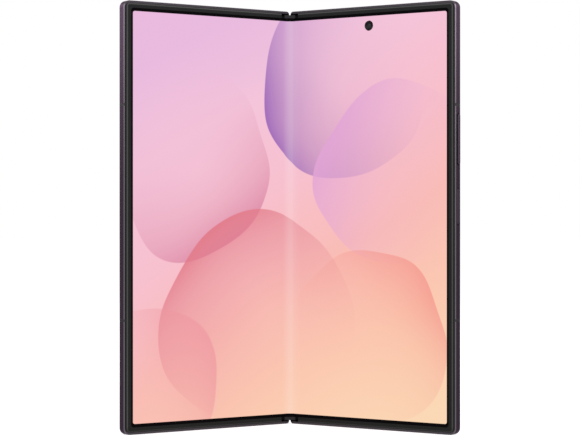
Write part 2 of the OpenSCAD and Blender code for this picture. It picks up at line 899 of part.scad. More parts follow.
camera_half = 5.2;
board_low = battery_low + right_battery_h + 2;
board_high = phone_h - end_wall - part_gap;
board_side_x = cavity_x - 3.4;
board_step_x = island_x - camera_half - 1;
board_step_z = lens_heights[2] - camera_half - 1.4;
module main_board() {
    color(board_green) right_half() difference() {
        plate(board_front, board_back) polygon([
            [content_x, board_low], [board_side_x, board_low], [board_side_x, board_step_z],
            [board_step_x, board_step_z], [board_step_x, board_high], [content_x, board_high]
        ]);
        y_bar(eye_x, eye_z, 0, body_t, eye_body_r + part_gap);
    }
}

// Cans on both faces of the board
can_t = 0.8;
module shield_cans() {
    edge = 0.5;
    can_r = 0.8;
    can_x = content_x + 2;
    mid_x = (content_x + board_step_x) / 2;
    can_low = board_low + 3;
    can_mid = (board_low + eye_z) / 2;
    can_high = eye_z - eye_body_r - 2;
    color("silver") right_half() {
        plate(deck_back, board_front) {
            round_rect(can_x, mid_x - edge, can_low, can_mid - edge, can_r);
            round_rect(can_x, mid_x - edge, can_mid + edge, can_high, can_r);
            round_rect(mid_x + edge, board_step_x - 2 * edge, can_low, can_high, can_r);
        }
        plate(board_back, board_back + can_t)
            round_rect(can_x, flash_x - flash_r - edge, can_low, can_high, can_r);
    }
}

eye_barrel_r = 1.8;
eye_body_r = 3.4;
module inner_camera() {
    color("black") right_half() {
        y_bar(eye_x, eye_z, screen_in + 0.1, deck_back, eye_barrel_r);
        y_bar(eye_x, eye_z, deck_back, glass_front - 0.2, eye_body_r);
    }
}

barrel_r = 5;
module rear_cameras() {
    color([0.1, 0.1, 0.1]) right_half() for (z = lens_heights) {
        block(island_x - camera_half, island_x + camera_half, deck_back, glass_front - 0.1,
            z - camera_half, z + camera_half);
        y_bar(island_x, z, glass_front - 0.1, body_t + island_h - 0.1, barrel_r);
    }
}

island_low = lens_heights[2];
module island_outline(r) {
    translate([island_x - r, island_low]) square([2 * r, top_lens_z - island_low]);
    for (z = [island_low, top_lens_z]) translate([island_x, z]) circle(r = r);
}

module back_glass() {
    color(metal) right_half() difference() {
        plate(glass_front, body_t) glass_outline(fit_gap);
        plate(0, body_t + big) island_outline(island_r + fit_gap);
        y_bar(flash_x, top_lens_z, 0, body_t + big, flash_r + fit_gap);
    }
}

island_chamfer = 0.5;
module camera_island() {
    top_y = body_t + island_h;
    color(metal) right_half() difference() {
        union() {
            plate(glass_front, top_y - island_chamfer) island_outline(island_r);
            for (z = [island_low, top_lens_z])
                y_cone(island_x, z, top_y - island_chamfer, top_y, island_r, island_r - island_chamfer);
            translate([0, 0, island_low]) linear_extrude(top_lens_z - island_low) polygon([
                [island_x - island_r, top_y - island_chamfer],
                [island_x + island_r, top_y - island_chamfer],
                [island_x + island_r - island_chamfer, top_y],
                [island_x - island_r + island_chamfer, top_y]
            ]);
        }
        for (z = lens_heights) y_bar(island_x, z, 0, top_y + big, barrel_r + fit_gap);
    }
}

ring_t = 0.7;
module lens_rings() {
    top_y = body_t + island_h;
    color("dimgray") right_half() for (z = lens_heights) difference() {
        union() {
            y_bar(island_x, z, top_y, top_y + ring_t - 0.2, lens_ring_r);
            y_cone(island_x, z, top_y + ring_t - 0.2, top_y + ring_t, lens_ring_r, lens_ring_r - 0.2);
        }
        y_bar(island_x, z, 0, top_y + big, lens_r + fit_gap);
    }
}

module lens_glasses() {
    top_y = body_t + island_h;
    color(glass_dark) right_half() for (z = lens_heights)
        y_bar(island_x, z, top_y - 0.1, top_y + ring_t - 0.25, lens_r);
}

flash_r = 1.7;
flash_x = island_x - island_r - 3;
module flash_window() {
    color("wheat") right_half() y_bar(flash_x, top_lens_z, board_back, body_t, flash_r);
}

port_wall = 0.12;
port_back = 0.2;
module port_shell() {
    color("silver") right_half() translate([port_x, mid_y, 0.2]) difference() {
        linear_extrude(port_d + port_back - 0.2)
            slot_outline(port_w + 2 * port_wall, port_t + 2 * port_wall);
        translate([0, 0, -big]) linear_extrude(port_d - 0.2 + big) slot_outline(port_w, port_t);
    }
}

tongue_t = 0.7;
tongue_w = 6.7;
tongue_in = 1.2;
module port_tongue() {
    color([0.15, 0.15, 0.15]) right_half() translate([port_x, mid_y, tongue_in])
        linear_extrude(port_d - tongue_in) square([tongue_w, tongue_t], center = true);
}

module sub_board() {
    cut = port_w / 2 + port_wall + part_gap;
    color(board_green) right_half() difference() {
        block(content_x + 4, speaker_case_x - 1, board_front, board_back,
            end_wall + part_gap, low_parts_h);
        block(port_x - cut, port_x + cut, 0, body_t, 0, port_d + port_back + part_gap);
    }
}

module bottom_speaker() {
    color([0.13, 0.13, 0.14]) right_half() plate(deck_back, glass_front - 0.2)
        speaker_case(end_wall + 0.2, low_parts_h);
}

// Dome switches that the keys press, on a strip beside the side wall
switch_in = 1.8;
module key_switches() {
    strip_t = 0.35;
    strip_x = cavity_x - switch_in;
    strip_low = power_mid - power_len / 2 - 2;
    strip_high = volume_mid + volume_len / 2 + 1;
    dome_r = 0.9;
    color("goldenrod") right_half() {
        block(strip_x, strip_x + strip_t, deck_back, glass_front - 0.2, strip_low, strip_high);
        for (z = [power_mid, volume_mid - volume_len / 3, volume_mid + volume_len / 3])
            side_plate(strip_x + strip_t, flange_front - volume_travel - fit_gap)
                translate([mid_y, z]) circle(r = dome_r);
    }
}

// Small bars beside the side wall that pull the halves together
magnet_t = 0.85;
magnet_rise = 4;
module magnets() {
    x1 = cavity_x - fit_gap;
    for (z = antenna_heights) block(x1 - magnet_t, x1, deck_back, deck_back + magnet_w,
        z + magnet_rise, z + magnet_rise + magnet_len);
}

module right_magnets() {
    color("gray") right_half() magnets();
}

module left_magnets() {
    color("gray") left_half() magnets();
}

// ---------- left half, inside and back ----------

// It hangs from the parts above it, so a shorter phone brings it closer to the card reader
top_parts_z = phone_h - top_parts_h;
module left_battery() {
    high = top_parts_z - 2 * battery_gap;
    color([0.2, 0.2, 0.22]) left_half() plate(deck_back, battery_back)
        round_rect(content_x, cavity_x - 1.2, high - left_battery_h, high, battery_r);
}

cover_eye_x = port_x;
cover_eye_drop = 9;
cover_eye_z = phone_h - cover_eye_drop;
cover_eye_r = 1.9;
module cover_display() {
    color([0.05, 0.05, 0.06]) left_half() difference() {
        plate(battery_back, glass_front)
            round_rect(content_x, cavity_x - part_gap, end_wall + part_gap,
                phone_h - end_wall - part_gap, 2);
        y_bar(cover_eye_x, cover_eye_z, 0, body_t, cover_eye_r + fit_gap);
    }
}

module cover_glass() {
    color(glass_dark) left_half() plate(glass_front, body_t) glass_outline(fit_gap);
}

module cover_camera() {
    color("black") left_half() {
        y_bar(cover_eye_x, cover_eye_z, deck_back, battery_back - fit_gap, 3.4);
        y_bar(cover_eye_x, cover_eye_z, battery_back - fit_gap, glass_front - fit_gap, cover_eye_r);
    }
}

module top_speaker() {
    color([0.13, 0.13, 0.14]) left_half() plate(deck_back, battery_back - fit_gap)
        speaker_case(top_parts_z, phone_h - end_wall - 0.2);
}

module vibration_motor() {
    color("silver") left_half() plate(deck_back, battery_back - fit_gap)
        round_rect(content_x + 3, content_x + 3 + motor_w, top_parts_z, top_parts_z + motor_len, 1);
}

tray_t = 0.9;
tray_head_t = 0.8;
tray_head_w = 1.9;
tray_edge = 2.2;
card_rim = 1;
eject_r = 0.4;
// The cage that the tray slides into, open towards the bottom wall
module card_reader() {
    cage = 0.3;
    tray_gap = 0.1;
    space_half = tray_w / 2 + tray_gap;
    color("silver") left_half() difference() {
        block(tray_x - space_half - cage, tray_x + space_half + cage,
            deck_back, battery_back - fit_gap, end_wall + fit_gap, tray_len + 1);
        block(tray_x - space_half, tray_x + space_half,
            mid_y - tray_t / 2 - tray_gap, mid_y + tray_t / 2 + tray_gap, 0, tray_len + cage);
    }
}

module card_tray() {
    color(metal) left_half() translate([tray_x, mid_y, 0]) difference() {
        union() {
            linear_extrude(tray_head_t) slot_outline(tray_w + tray_edge, tray_head_w);
            translate([0, 0, tray_head_t]) linear_extrude(tray_len - tray_head_t)
                square([tray_w, tray_t], center = true);
        }
        // seat of the card and the eject hole
        block(-tray_w / 2 + card_rim, tray_w / 2 - card_rim, -big, big, 4, tray_len - 2 * card_rim);
        translate([tray_w / 2 + tray_edge / 4, 0, -big]) cylinder(r = eject_r, h = tray_head_t + 2 * big);
    }
}

// ---------- keys ----------

// A key is a rounded cap through the wall and a wider flange behind it
module key(z, len, top_x) {
    soft = 0.15;
    side_plate(flange_front + flange_t, top_x - soft) translate([mid_y, z]) rotate([0, 0, 90])
        slot_outline(len, key_w);
    side_plate(top_x - soft, top_x) translate([mid_y, z]) rotate([0, 0, 90])
        slot_outline(len - soft, key_w - soft);
    side_plate(flange_front, flange_front + flange_t) translate([mid_y, z]) rotate([0, 0, 90])
        slot_outline(len + 1.6, key_w + 0.5);
}

module volume_key() {
    color(metal) right_half() key(volume_mid, volume_len, half_w + key_proud);
}

module power_key() {
    color(metal) right_half() key(power_mid, power_len, half_w - fit_gap);
}

spine_cover();
hinge_end_caps();
hinge_brackets();
bracket_screws();
display_fold();
left_arms();
left_shafts();
left_washers();
right_arms();
right_shafts();
right_washers();
left_idlers();
right_idlers();
left_frame();
left_bezel();
left_display();
left_antenna_bands();
left_rotators();
left_rotator_screws();
left_battery();
cover_display();
cover_glass();
cover_camera();
top_speaker();
vibration_motor();
card_reader();
left_magnets();
right_frame();
right_bezel();
right_display();
right_antenna_bands();
right_rotators();
right_rotator_screws();
right_battery();
charging_coil();
main_board();
shield_cans();
inner_camera();
rear_cameras();
back_glass();
camera_island();
lens_rings();
lens_glasses();
flash_window();
sub_board();
port_shell();
port_tongue();
bottom_speaker();
key_switches();
right_magnets();
volume_key();
power_key();
card_tray();
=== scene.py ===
# %% [markdown]
# # A half-open foldable phone
# This lesson dresses a finished CAD model of a book-style foldable phone. The solids already have the
# real sizes and joints. For each visible piece the question is whether its solid only needs a finish, or
# whether the real piece has soft edges and small parts that call for a new mesh in the same place.

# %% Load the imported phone
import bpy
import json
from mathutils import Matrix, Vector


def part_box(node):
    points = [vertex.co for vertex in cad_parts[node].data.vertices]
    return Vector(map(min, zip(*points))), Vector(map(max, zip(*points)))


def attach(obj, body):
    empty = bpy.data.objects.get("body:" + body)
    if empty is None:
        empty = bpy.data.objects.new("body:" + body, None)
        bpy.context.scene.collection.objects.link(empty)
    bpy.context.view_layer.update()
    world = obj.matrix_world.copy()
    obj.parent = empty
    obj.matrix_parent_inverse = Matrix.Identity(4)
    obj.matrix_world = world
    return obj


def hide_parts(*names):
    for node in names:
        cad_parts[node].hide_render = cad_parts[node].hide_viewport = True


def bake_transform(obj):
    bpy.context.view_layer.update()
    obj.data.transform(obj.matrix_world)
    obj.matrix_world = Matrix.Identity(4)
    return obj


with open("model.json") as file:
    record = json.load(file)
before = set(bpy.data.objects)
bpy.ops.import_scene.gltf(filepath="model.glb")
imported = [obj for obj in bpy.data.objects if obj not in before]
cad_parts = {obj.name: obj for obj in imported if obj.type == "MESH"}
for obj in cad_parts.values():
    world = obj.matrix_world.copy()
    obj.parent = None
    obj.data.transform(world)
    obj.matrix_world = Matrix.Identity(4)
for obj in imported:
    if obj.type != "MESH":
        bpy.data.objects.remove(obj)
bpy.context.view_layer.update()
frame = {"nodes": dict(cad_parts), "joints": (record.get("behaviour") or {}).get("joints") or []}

# %% [markdown]
# ## Where a half lies
# Each half is designed flat, in millimetres: x grows from the fold line to the side wall, y goes back
# from the front of the rim, z goes up. Working in that flat frame keeps every number simple. One matrix
# then turns a finished piece about its fold axis and into metres, and the left half is the mirror image.
# The turn, and the place that the axis has on the phone, are read from the hinge joint, so they always
# agree with the CAD.

# %% Place of each half
import json
import math

import bmesh
import bpy
from mathutils import Matrix, Vector

# Millimetres in a metre.
MM = 1000
HEIGHT = 158.4
HALF_WIDTH = 71.6
THICKNESS = 4.2
# The soft rim's outer edge: from the fold line, in from both ends, and the radius of its corners.
RIM_OUT = 71.05
RIM_LOW = 0.95
RIM_RADIUS = 1.75
# The axis in the flat frame of the right half.
FOLD_AXIS = Vector((1.325, 1.075, 0))
SIGN = {"right": 1, "left": -1}

fold_joint = next(joint for joint in frame["joints"] if joint["name"] == "right_fold")
rest_turn = math.radians(fold_joint["range_deg"][1])
axis_place = Vector((fold_joint["pos_m"][0], fold_joint["pos_m"][1], 0))
turned = Matrix.Rotation(-rest_turn, 4, "Z")
to_metres = Matrix.Scale(1 / MM, 4)
right_place = Matrix.Translation(axis_place) @ turned @ to_metres @ Matrix.Translation(-FOLD_AXIS)
place = {"right": right_place, "left": Matrix.Scale(-1, 4, (1, 0, 0)) @ right_place}
print("each half is turned", round(math.degrees(rest_turn), 2), "degrees from flat")

# %% [markdown]
# ## Camera
# The photograph looks level and straight at the fold, from far enough that the halves grow only a little
# towards the viewer. The distance and the focal length come from that growth: the fold measures 411
# pixels and the nearer outer edges 434. A tiny shift puts the fold line where the picture has it.

# %% Camera at the photograph's angle
CAMERA_Y = -0.6694
EYE_LEVEL = HEIGHT / 2 / MM
SENSOR_WIDTH = 36
FOCAL_LENGTH = 110.78
PICTURE_WIDTH = 580
SHIFT_PIXELS = (0.14, 0.13)

camera = bpy.data.objects.new("camera", bpy.data.cameras.new("camera"))
camera.location = (0, CAMERA_Y, EYE_LEVEL)
camera.rotation_euler = (math.pi / 2, 0, 0)
camera.data.sensor_width = SENSOR_WIDTH
camera.data.lens = FOCAL_LENGTH
camera.data.shift_x = SHIFT_PIXELS[0] / PICTURE_WIDTH
camera.data.shift_y = SHIFT_PIXELS[1] / PICTURE_WIDTH
camera.data.clip_start = 0.01
bpy.context.collection.objects.link(camera)
bpy.context.scene.camera = camera
print("camera", round(axis_place.y - CAMERA_Y, 3), "m in front of the fold axes")

# %% [markdown]
# ## Shader maths as plain expressions
# A node tree is easier to read as a formula. Signal wraps one socket and turns sums, differences,
# products and quotients into Math nodes. Its mask() turns a distance into a soft step. Finish is a
# material being built: constants are set on the shader's own sockets, add() makes any node, and feed()
# sends a result to the shader.

# %% Signal and Finish
class Signal:
    def __init__(self, finish, socket):
        self.finish = finish
        self.socket = socket

    def calc(self, operation, *others):
        return self.finish.add("ShaderNodeMath", {"operation": operation}, dict(enumerate((self, *others))))

    def before(self, operation, other):
        return self.finish.add("ShaderNodeMath", {"operation": operation}, {0: other, 1: self})

    def __add__(self, other):
        return self.calc("ADD", other)

    def __sub__(self, other):
        return self.calc("SUBTRACT", other)

    def __mul__(self, other):
        return self.calc("MULTIPLY", other)

    def __truediv__(self, other):
        return self.calc("DIVIDE", other)

    def __radd__(self, other):
        return self.before("ADD", other)

    def __rsub__(self, other):
        return self.before("SUBTRACT", other)

    def limited(self, low=0.0, high=1.0):
        return self.calc("MAXIMUM", low).calc("MINIMUM", high)

    def mask(self, sharpness):
        """Rises from 0 to 1 where the value passes zero, over a width of 1 / sharpness."""
        return (self * sharpness).limited()

    def output(self, index):
        return Signal(self.finish, self.socket.node.outputs[index])


class Finish:
    def __init__(self, name, **constants):
        self.material = bpy.data.materials.new(name)
        self.material.use_nodes = True
        self.tree = self.material.node_tree
        self.shader = self.tree.nodes["Principled BSDF"]
        for socket, value in constants.items():
            self.shader.inputs[socket.replace("_", " ")].default_value = value

    def link(self, value, socket):
        if isinstance(value, Signal):
            self.tree.links.new(value.socket, socket)
        else:
            socket.default_value = value

    def add(self, kind, settings, sockets, output=0):
        node = self.tree.nodes.new(kind)
        for key, value in settings.items():
            if key == "stops":
                ramp = node.color_ramp.elements
                ramp.remove(ramp[1])
                ramp[0].position, ramp[0].color = value[0]
                for position, colour in value[1:]:
                    ramp.new(position).color = colour
            else:
                setattr(node, key, value)
        for key, value in sockets.items():
            self.link(value, node.inputs[key])
        return Signal(self, node.outputs[output])

    def feed(self, socket, value):
        self.link(value, self.shader.inputs[socket])

    def ramp(self, factor, *stops):
        return self.add("ShaderNodeValToRGB", {"stops": stops}, {0: factor})

    def blend(self, factor, first, second):
        return self.add("ShaderNodeMix", {"data_type": "RGBA"}, {0: factor, 6: first, 7: second}, 2)

    def bump(self, height, distance):
        values = {"Height": height, "Distance": distance, "Strength": 1.0}
        self.feed("Normal", self.add("ShaderNodeBump", {}, values))


def tone(red, green, blue):
    """A colour written as it shows on screen, 0 to 255, as linear RGBA."""
    shown = (red, green, blue)
    linear = [((c / 255 + 0.055) / 1.055) ** 2.4 if c > 10 else c / 255 / 12.92 for c in shown]
    return (*linear, 1.0)


def grey(level):
    """A linear grey as RGBA."""
    return (level, level, level, 1)


def darker(colour, share):
    return tuple(share * c for c in colour[:3]) + (1.0,)


print("grey 128 is written as", [round(c, 3) for c in tone(128, 128, 128)])

# %% [markdown]
# ## Coordinates for patterns
# A pattern must ride with its piece, so it reads Object coordinates, which for these pieces are the
# phone's own frame at rest. Most finishes only need them in millimetres. Those that follow the outline
# of a half turn the point back into the half's flat frame, and outline_distance() then says how far it
# lies from a rounded outline.

# %% Coordinates and grain
def mapped(finish, **sockets):
    """Object coordinates behind a Mapping node with the given sockets."""
    point = finish.add("ShaderNodeTexCoord", {}, {}, 3)
    return finish.add("ShaderNodeMapping", {}, {"Vector": point, **sockets})


def in_mm(finish):
    return mapped(finish, Scale=(MM, MM, MM))


def in_half(finish, side):
    """X, Y and Z in the flat frame of a half. Y and Z are the outputs 1 and 2."""
    shift = FOLD_AXIS - turned.inverted() @ (axis_place * MM)
    flat = mapped(finish, Location=shift, Rotation=(0, 0, rest_turn), Scale=(SIGN[side] * MM, MM, MM))
    return finish.add("ShaderNodeSeparateXYZ", {}, {0: flat})


def grain(finish, vector, size, detail=2.0):
    """Noise whose blotches are about size millimetres across."""
    return finish.add("ShaderNodeTexNoise", {}, {"Vector": vector, "Scale": 1 / size, "Detail": detail})


def box_distance(x, z, half_x, half_z, radius):
    """Distance to the edge of a rounded rectangle, negative inside it."""
    beyond_x = x.calc("ABSOLUTE") - (half_x - radius)
    beyond_z = z.calc("ABSOLUTE") - (half_z - radius)
    out_x = beyond_x.calc("MAXIMUM", 0.0)
    out_z = beyond_z.calc("MAXIMUM", 0.0)
    corner = (out_x * out_x + out_z * out_z).calc("SQRT")
    return corner + beyond_x.calc("MAXIMUM", beyond_z).calc("MINIMUM", 0.0) - radius


def outline_distance(flat, out, inset, radius):
    """Distance to an outline that reaches out from the fold and stays inset from the ends."""
    return box_distance(flat, flat.output(2) - HEIGHT / 2, out, HEIGHT / 2 - inset, radius)


print("patterns read millimetres of the phone's own frame")

# %% [markdown]
# ## Blasted and anodised aluminium
# The side frames are bead-blasted and dyed a dark violet grey. Blasting leaves a fine, even grain that
# spreads reflections, so the base is fully metallic with a middle roughness, a very small bump, and slow
# blotches that keep large faces from looking computed. The front face and its chamfer are cut after
# dyeing, so they are paler, and their pale tone also holds a painted highlight. Painted shade darkens the
# seam where the soft rim meets the frame and the gaps at the ends of the keys. The keys' front edges get
# the same pale tone as a painted highlight. The spine is polished instead, so it gets the same dye but a
# low roughness with fine lengthwise polishing lines.

# %% Metal finishes
OUTLINE_RADIUS = 2.5
CHAMFER_IN = 0.28
CHAMFER_BACK = 0.54
# Painted shade along the seam reaches this far out from the rim's outline.
SEAM_SHADE_OUT = 0.18
CUT_SHARPNESS = 30
MIDDLE_DEPTH = 2.4
KEY_WIDTH = 1.9
# The keys' painted highlight reaches this far onto the key past its front edge.
KEY_HIGHLIGHT_REACH = 0.12
# Each key's middle height, its length, and how far out its top lies.
KEYS = {"volume_cap": (107.8, 18.5, 71.87), "power_cap": (83.3, 13, 71.55)}
# Painted shade at each key gap lies this far beyond the key's end, and reaches this far from its own middle
# along and across.
KEY_SHADE_OUT = 0.15
KEY_SHADE_LONG = 0.25
KEY_SHADE_DEEP = 0.9
KEY_SHADE_SHARPNESS = 15


def anodised(name, colour, roughness, side=None, cut_and_highlight_back=CHAMFER_BACK):
    """Blasted dyed metal. With a side, its front is paler down to cut_and_highlight_back: cut, and painted
    highlight.
    """
    finish = Finish(name, Metallic=1.0, Specular_Tint=tone(200, 192, 200))
    point = in_mm(finish)
    cloud = grain(finish, point, 14, 3)
    speck = grain(finish, point, 0.12, 1)
    shade = finish.blend(cloud * 0.6 + speck * 0.4, darker(colour, 0.86), colour)
    rough = roughness - 0.04 + cloud * 0.05 + speck * 0.04
    if side:
        flat = in_half(finish, side)
        front = (cut_and_highlight_back - flat.output(1)).mask(CUT_SHARPNESS)
        edge = outline_distance(flat, HALF_WIDTH, 0, OUTLINE_RADIUS)
        chamfer = (edge + CHAMFER_IN).mask(CUT_SHARPNESS) * front
        rim_edge = outline_distance(flat, RIM_OUT + SEAM_SHADE_OUT, RIM_LOW, RIM_RADIUS)
        seam_shade = (0 - rim_edge).mask(CUT_SHARPNESS)
        # The cut front face and chamfer are paler, and their pale tone also holds a painted highlight.
        shade = finish.blend(front, shade, tone(65, 61, 66))
        shade = finish.blend(chamfer, shade, tone(92, 85, 92))
        # Painted shade where the frame meets the rim, down into the slits beside the fold.
        shade = finish.blend(seam_shade * 0.92, shade, tone(8, 6, 8))
        rough = rough - chamfer * 0.12
    if side == "right":
        for height, length, _ in KEYS.values():
            beyond_key = (flat.output(2) - height).calc("ABSOLUTE") - length / 2
            from_key_shade = (beyond_key - KEY_SHADE_OUT).calc("ABSOLUTE")
            from_middle = (flat.output(1) - MIDDLE_DEPTH).calc("ABSOLUTE")
            # Painted shade in the gaps at the ends of the keys.
            key_gap_shade = (KEY_SHADE_LONG - from_key_shade).mask(KEY_SHADE_SHARPNESS)
            key_gap_shade = key_gap_shade * (KEY_SHADE_DEEP - from_middle).mask(KEY_SHADE_SHARPNESS)
            shade = finish.blend(key_gap_shade * 0.8, shade, tone(12, 10, 12))
    finish.feed("Base Color", shade)
    finish.feed("Roughness", rough)
    finish.bump(speck, 0.000001)
    return finish.material


def polished(name, colour, roughness):
    """Dyed or bare metal with polishing lines that run up the phone."""
    finish = Finish(name, Metallic=1.0)
    lines = grain(finish, mapped(finish, Scale=(9 * MM, 9 * MM, 0.12 * MM)), 1)
    cloud = grain(finish, in_mm(finish), 9)
    finish.feed("Base Color", finish.blend(cloud, darker(colour, 0.85), colour))
    finish.feed("Roughness", roughness + lines * 0.08 + cloud * 0.04)
    finish.bump(lines, 0.000002)
    return finish.material


frame_metal = {side: anodised("anodised_frame_" + side, tone(45, 38, 45), 0.34, side) for side in place}
# The keys' front edges get a paler painted highlight, down to this depth.
key_highlight_back = MIDDLE_DEPTH - KEY_WIDTH / 2 + KEY_HIGHLIGHT_REACH
key_metal = anodised("anodised_keys", tone(58, 50, 59), 0.34, "right", key_highlight_back)
island_metal = anodised("anodised_island", tone(62, 55, 63), 0.3)
spine_metal = polished("polished_spine", tone(96, 86, 97), 0.16)
steel = polished("machined_steel", tone(182, 182, 186), 0.24)
print("metals:", frame_metal["left"].name, spine_metal.name, steel.name)

# %% [markdown]
# ## Soft rim and moulded plastics
# The raised rim round the display is a soft dark moulding with a fine spark-eroded texture. Its rounded
# outer lip is slightly polished where a finger slides over it, and carries a painted highlight. The
# highlight follows the outline of the half, and along the top and bottom it lies nearer the edge. It is dim
# in the lowest millimetres, where less light falls. A nearly black strip of painted shade runs along the
# rim's inner edge, where the gap to the display lies in shadow. The antenna breaks and the moulded
# modules inside share the same kind of fine texture without the lip.

# %% Rim and plastics
# The lip's painted highlight lies this much nearer the top and bottom edges, and dims to this share at the
# bottom.
LIP_HIGHLIGHT_SHIFT = 0.5
LIP_HIGHLIGHT_DIM = 0.2
# Painted shade covers the rim from this far inside its outer edge to its inner edge.
GAP_SHADE_IN = 2.2
# The hinge cap gets painted shade further than this from its middle, on the flanks inside the gap.
CAP_SHADE_BEYOND = 2.15


def soft_rim(side):
    """Moulding with a painted highlight on its lip. The ramp runs from 2 mm inside the highlight's path to
    the path.
    """
    finish = Finish("soft_rim_" + side, Specular_IOR_Level=0.12)
    flat = in_half(finish, side)
    point = in_mm(finish)
    speck = grain(finish, point, 0.09, 1)
    cloud = grain(finish, point, 5)
    path = outline_distance(flat, RIM_OUT, RIM_LOW - LIP_HIGHLIGHT_SHIFT, RIM_RADIUS)
    # Painted highlight on the rim's rounded lip, dimmed near the bottom where less light falls.
    lip_highlight = finish.ramp(path / 2 + 1, (0.47, grey(0)), (0.54, grey(1)), (0.68, grey(1)), (0.78, grey(0.3)),
                      (0.86, grey(0)))
    lip_highlight = lip_highlight * (flat.output(2) * 0.3).limited(LIP_HIGHLIGHT_DIM, 1)
    # Painted shade: a nearly black strip along the rim's inner edge, where the gap to the display lies in
    # shadow.
    gap_shade = (-GAP_SHADE_IN - outline_distance(flat, RIM_OUT, RIM_LOW, RIM_RADIUS)).mask(20)
    shade = finish.blend(cloud * 0.7 + speck * 0.3, tone(18, 20, 19), tone(28, 30, 29))
    shade = finish.blend(lip_highlight, shade, tone(69, 71, 69))
    finish.feed("Base Color", finish.blend(gap_shade, shade, tone(6, 3, 5)))
    finish.feed("Roughness", 0.62 - lip_highlight * 0.14 + speck * 0.08)
    finish.bump(speck, 0.000008)
    return finish.material


def moulded(name, colour, roughness=0.5, shine=0.5, shade_beyond=None):
    """Fine moulded texture. With shade_beyond it gets nearly black painted shade further out than that, in
    a gap.
    """
    finish = Finish(name, Specular_IOR_Level=shine)
    point = in_mm(finish)
    speck = grain(finish, point, 0.15, 1)
    cloud = grain(finish, point, 6)
    shade = finish.blend(cloud, darker(colour, 0.75), colour)
    if shade_beyond:
        aside = finish.add("ShaderNodeSeparateXYZ", {}, {0: point}).calc("ABSOLUTE")
        # Painted shade on the parts that lie inside a gap.
        shade = finish.blend((aside - shade_beyond).mask(6), shade, tone(3, 3, 3))
    finish.feed("Base Color", shade)
    finish.feed("Roughness", roughness + speck * 0.12)
    finish.bump(speck, 0.000006)
    return finish.material


def antenna(side):
    """Plastic of the antenna breaks, dyed like the metal, with a paler painted highlight at the front."""
    finish = Finish("antenna_" + side, Specular_IOR_Level=0.05)
    flat = in_half(finish, side)
    speck = grain(finish, in_mm(finish), 0.15, 1)
    front = (CHAMFER_BACK - flat.output(1)).mask(CUT_SHARPNESS)
    # Painted highlight on the front, down to the chamfer's depth.
    finish.feed("Base Color", finish.blend(front, tone(28, 24, 29), tone(62, 57, 62)))
    finish.feed("Roughness", 0.42 + speck * 0.12)
    finish.bump(speck, 0.000006)
    return finish.material


rim = {side: soft_rim(side) for side in place}
antenna_plastic = {side: antenna(side) for side in place}
module_plastic = moulded("module_plastic", tone(40, 40, 42))
cap_plastic = moulded("hinge_cap_plastic", tone(40, 38, 41), 0.42, 0.12, CAP_SHADE_BEYOND)
print("rim finishes:", [material.name for material in rim.values()])

# %% [markdown]
# ## The lit display
# A lit display is its own light source, so the picture feeds Emission Color at strength 1 over a nearly
# black surface that reflects very little. The picture is a generic one made for this lesson: a soft wash
# from cool pink to warm peach with a few large translucent petals, each with one crisp edge. A faint pale
# band at the fold is a painted highlight on the crease. It reads a UV map laid flat along the sheet,
# because the sheet bends and Object coordinates would slide in the bend.

# %% Display picture
ACTIVE_HALF_WIDTH = 67.92
ACTIVE_HALF_HEIGHT = 75.36
ACTIVE_MIDDLE = HEIGHT / 2 + 0.07
ACTIVE_RADIUS = 0.8
PETAL_EDGE = 0.35
UV_SPAN = 100


def petal(finish, picture, across, up, centre, radius, lean, tint, weight):
    """A translucent disc that is strongest at its edge on the side that lean points to."""
    side = (across - centre[0]) / radius
    rise = (up - centre[1]) / radius
    reach = (side * side + rise * rise).calc("SQRT")
    inside = (1 - reach).mask(radius / PETAL_EDGE)
    angle = math.radians(lean)
    toward = (side * math.cos(angle) + rise * math.sin(angle)).limited(-1, 1) * 0.5 + 0.5
    fade = toward.calc("POWER", 2.2) * (0.35 + reach * 0.65)
    return finish.blend((inside * fade * weight).limited(), picture, tint)


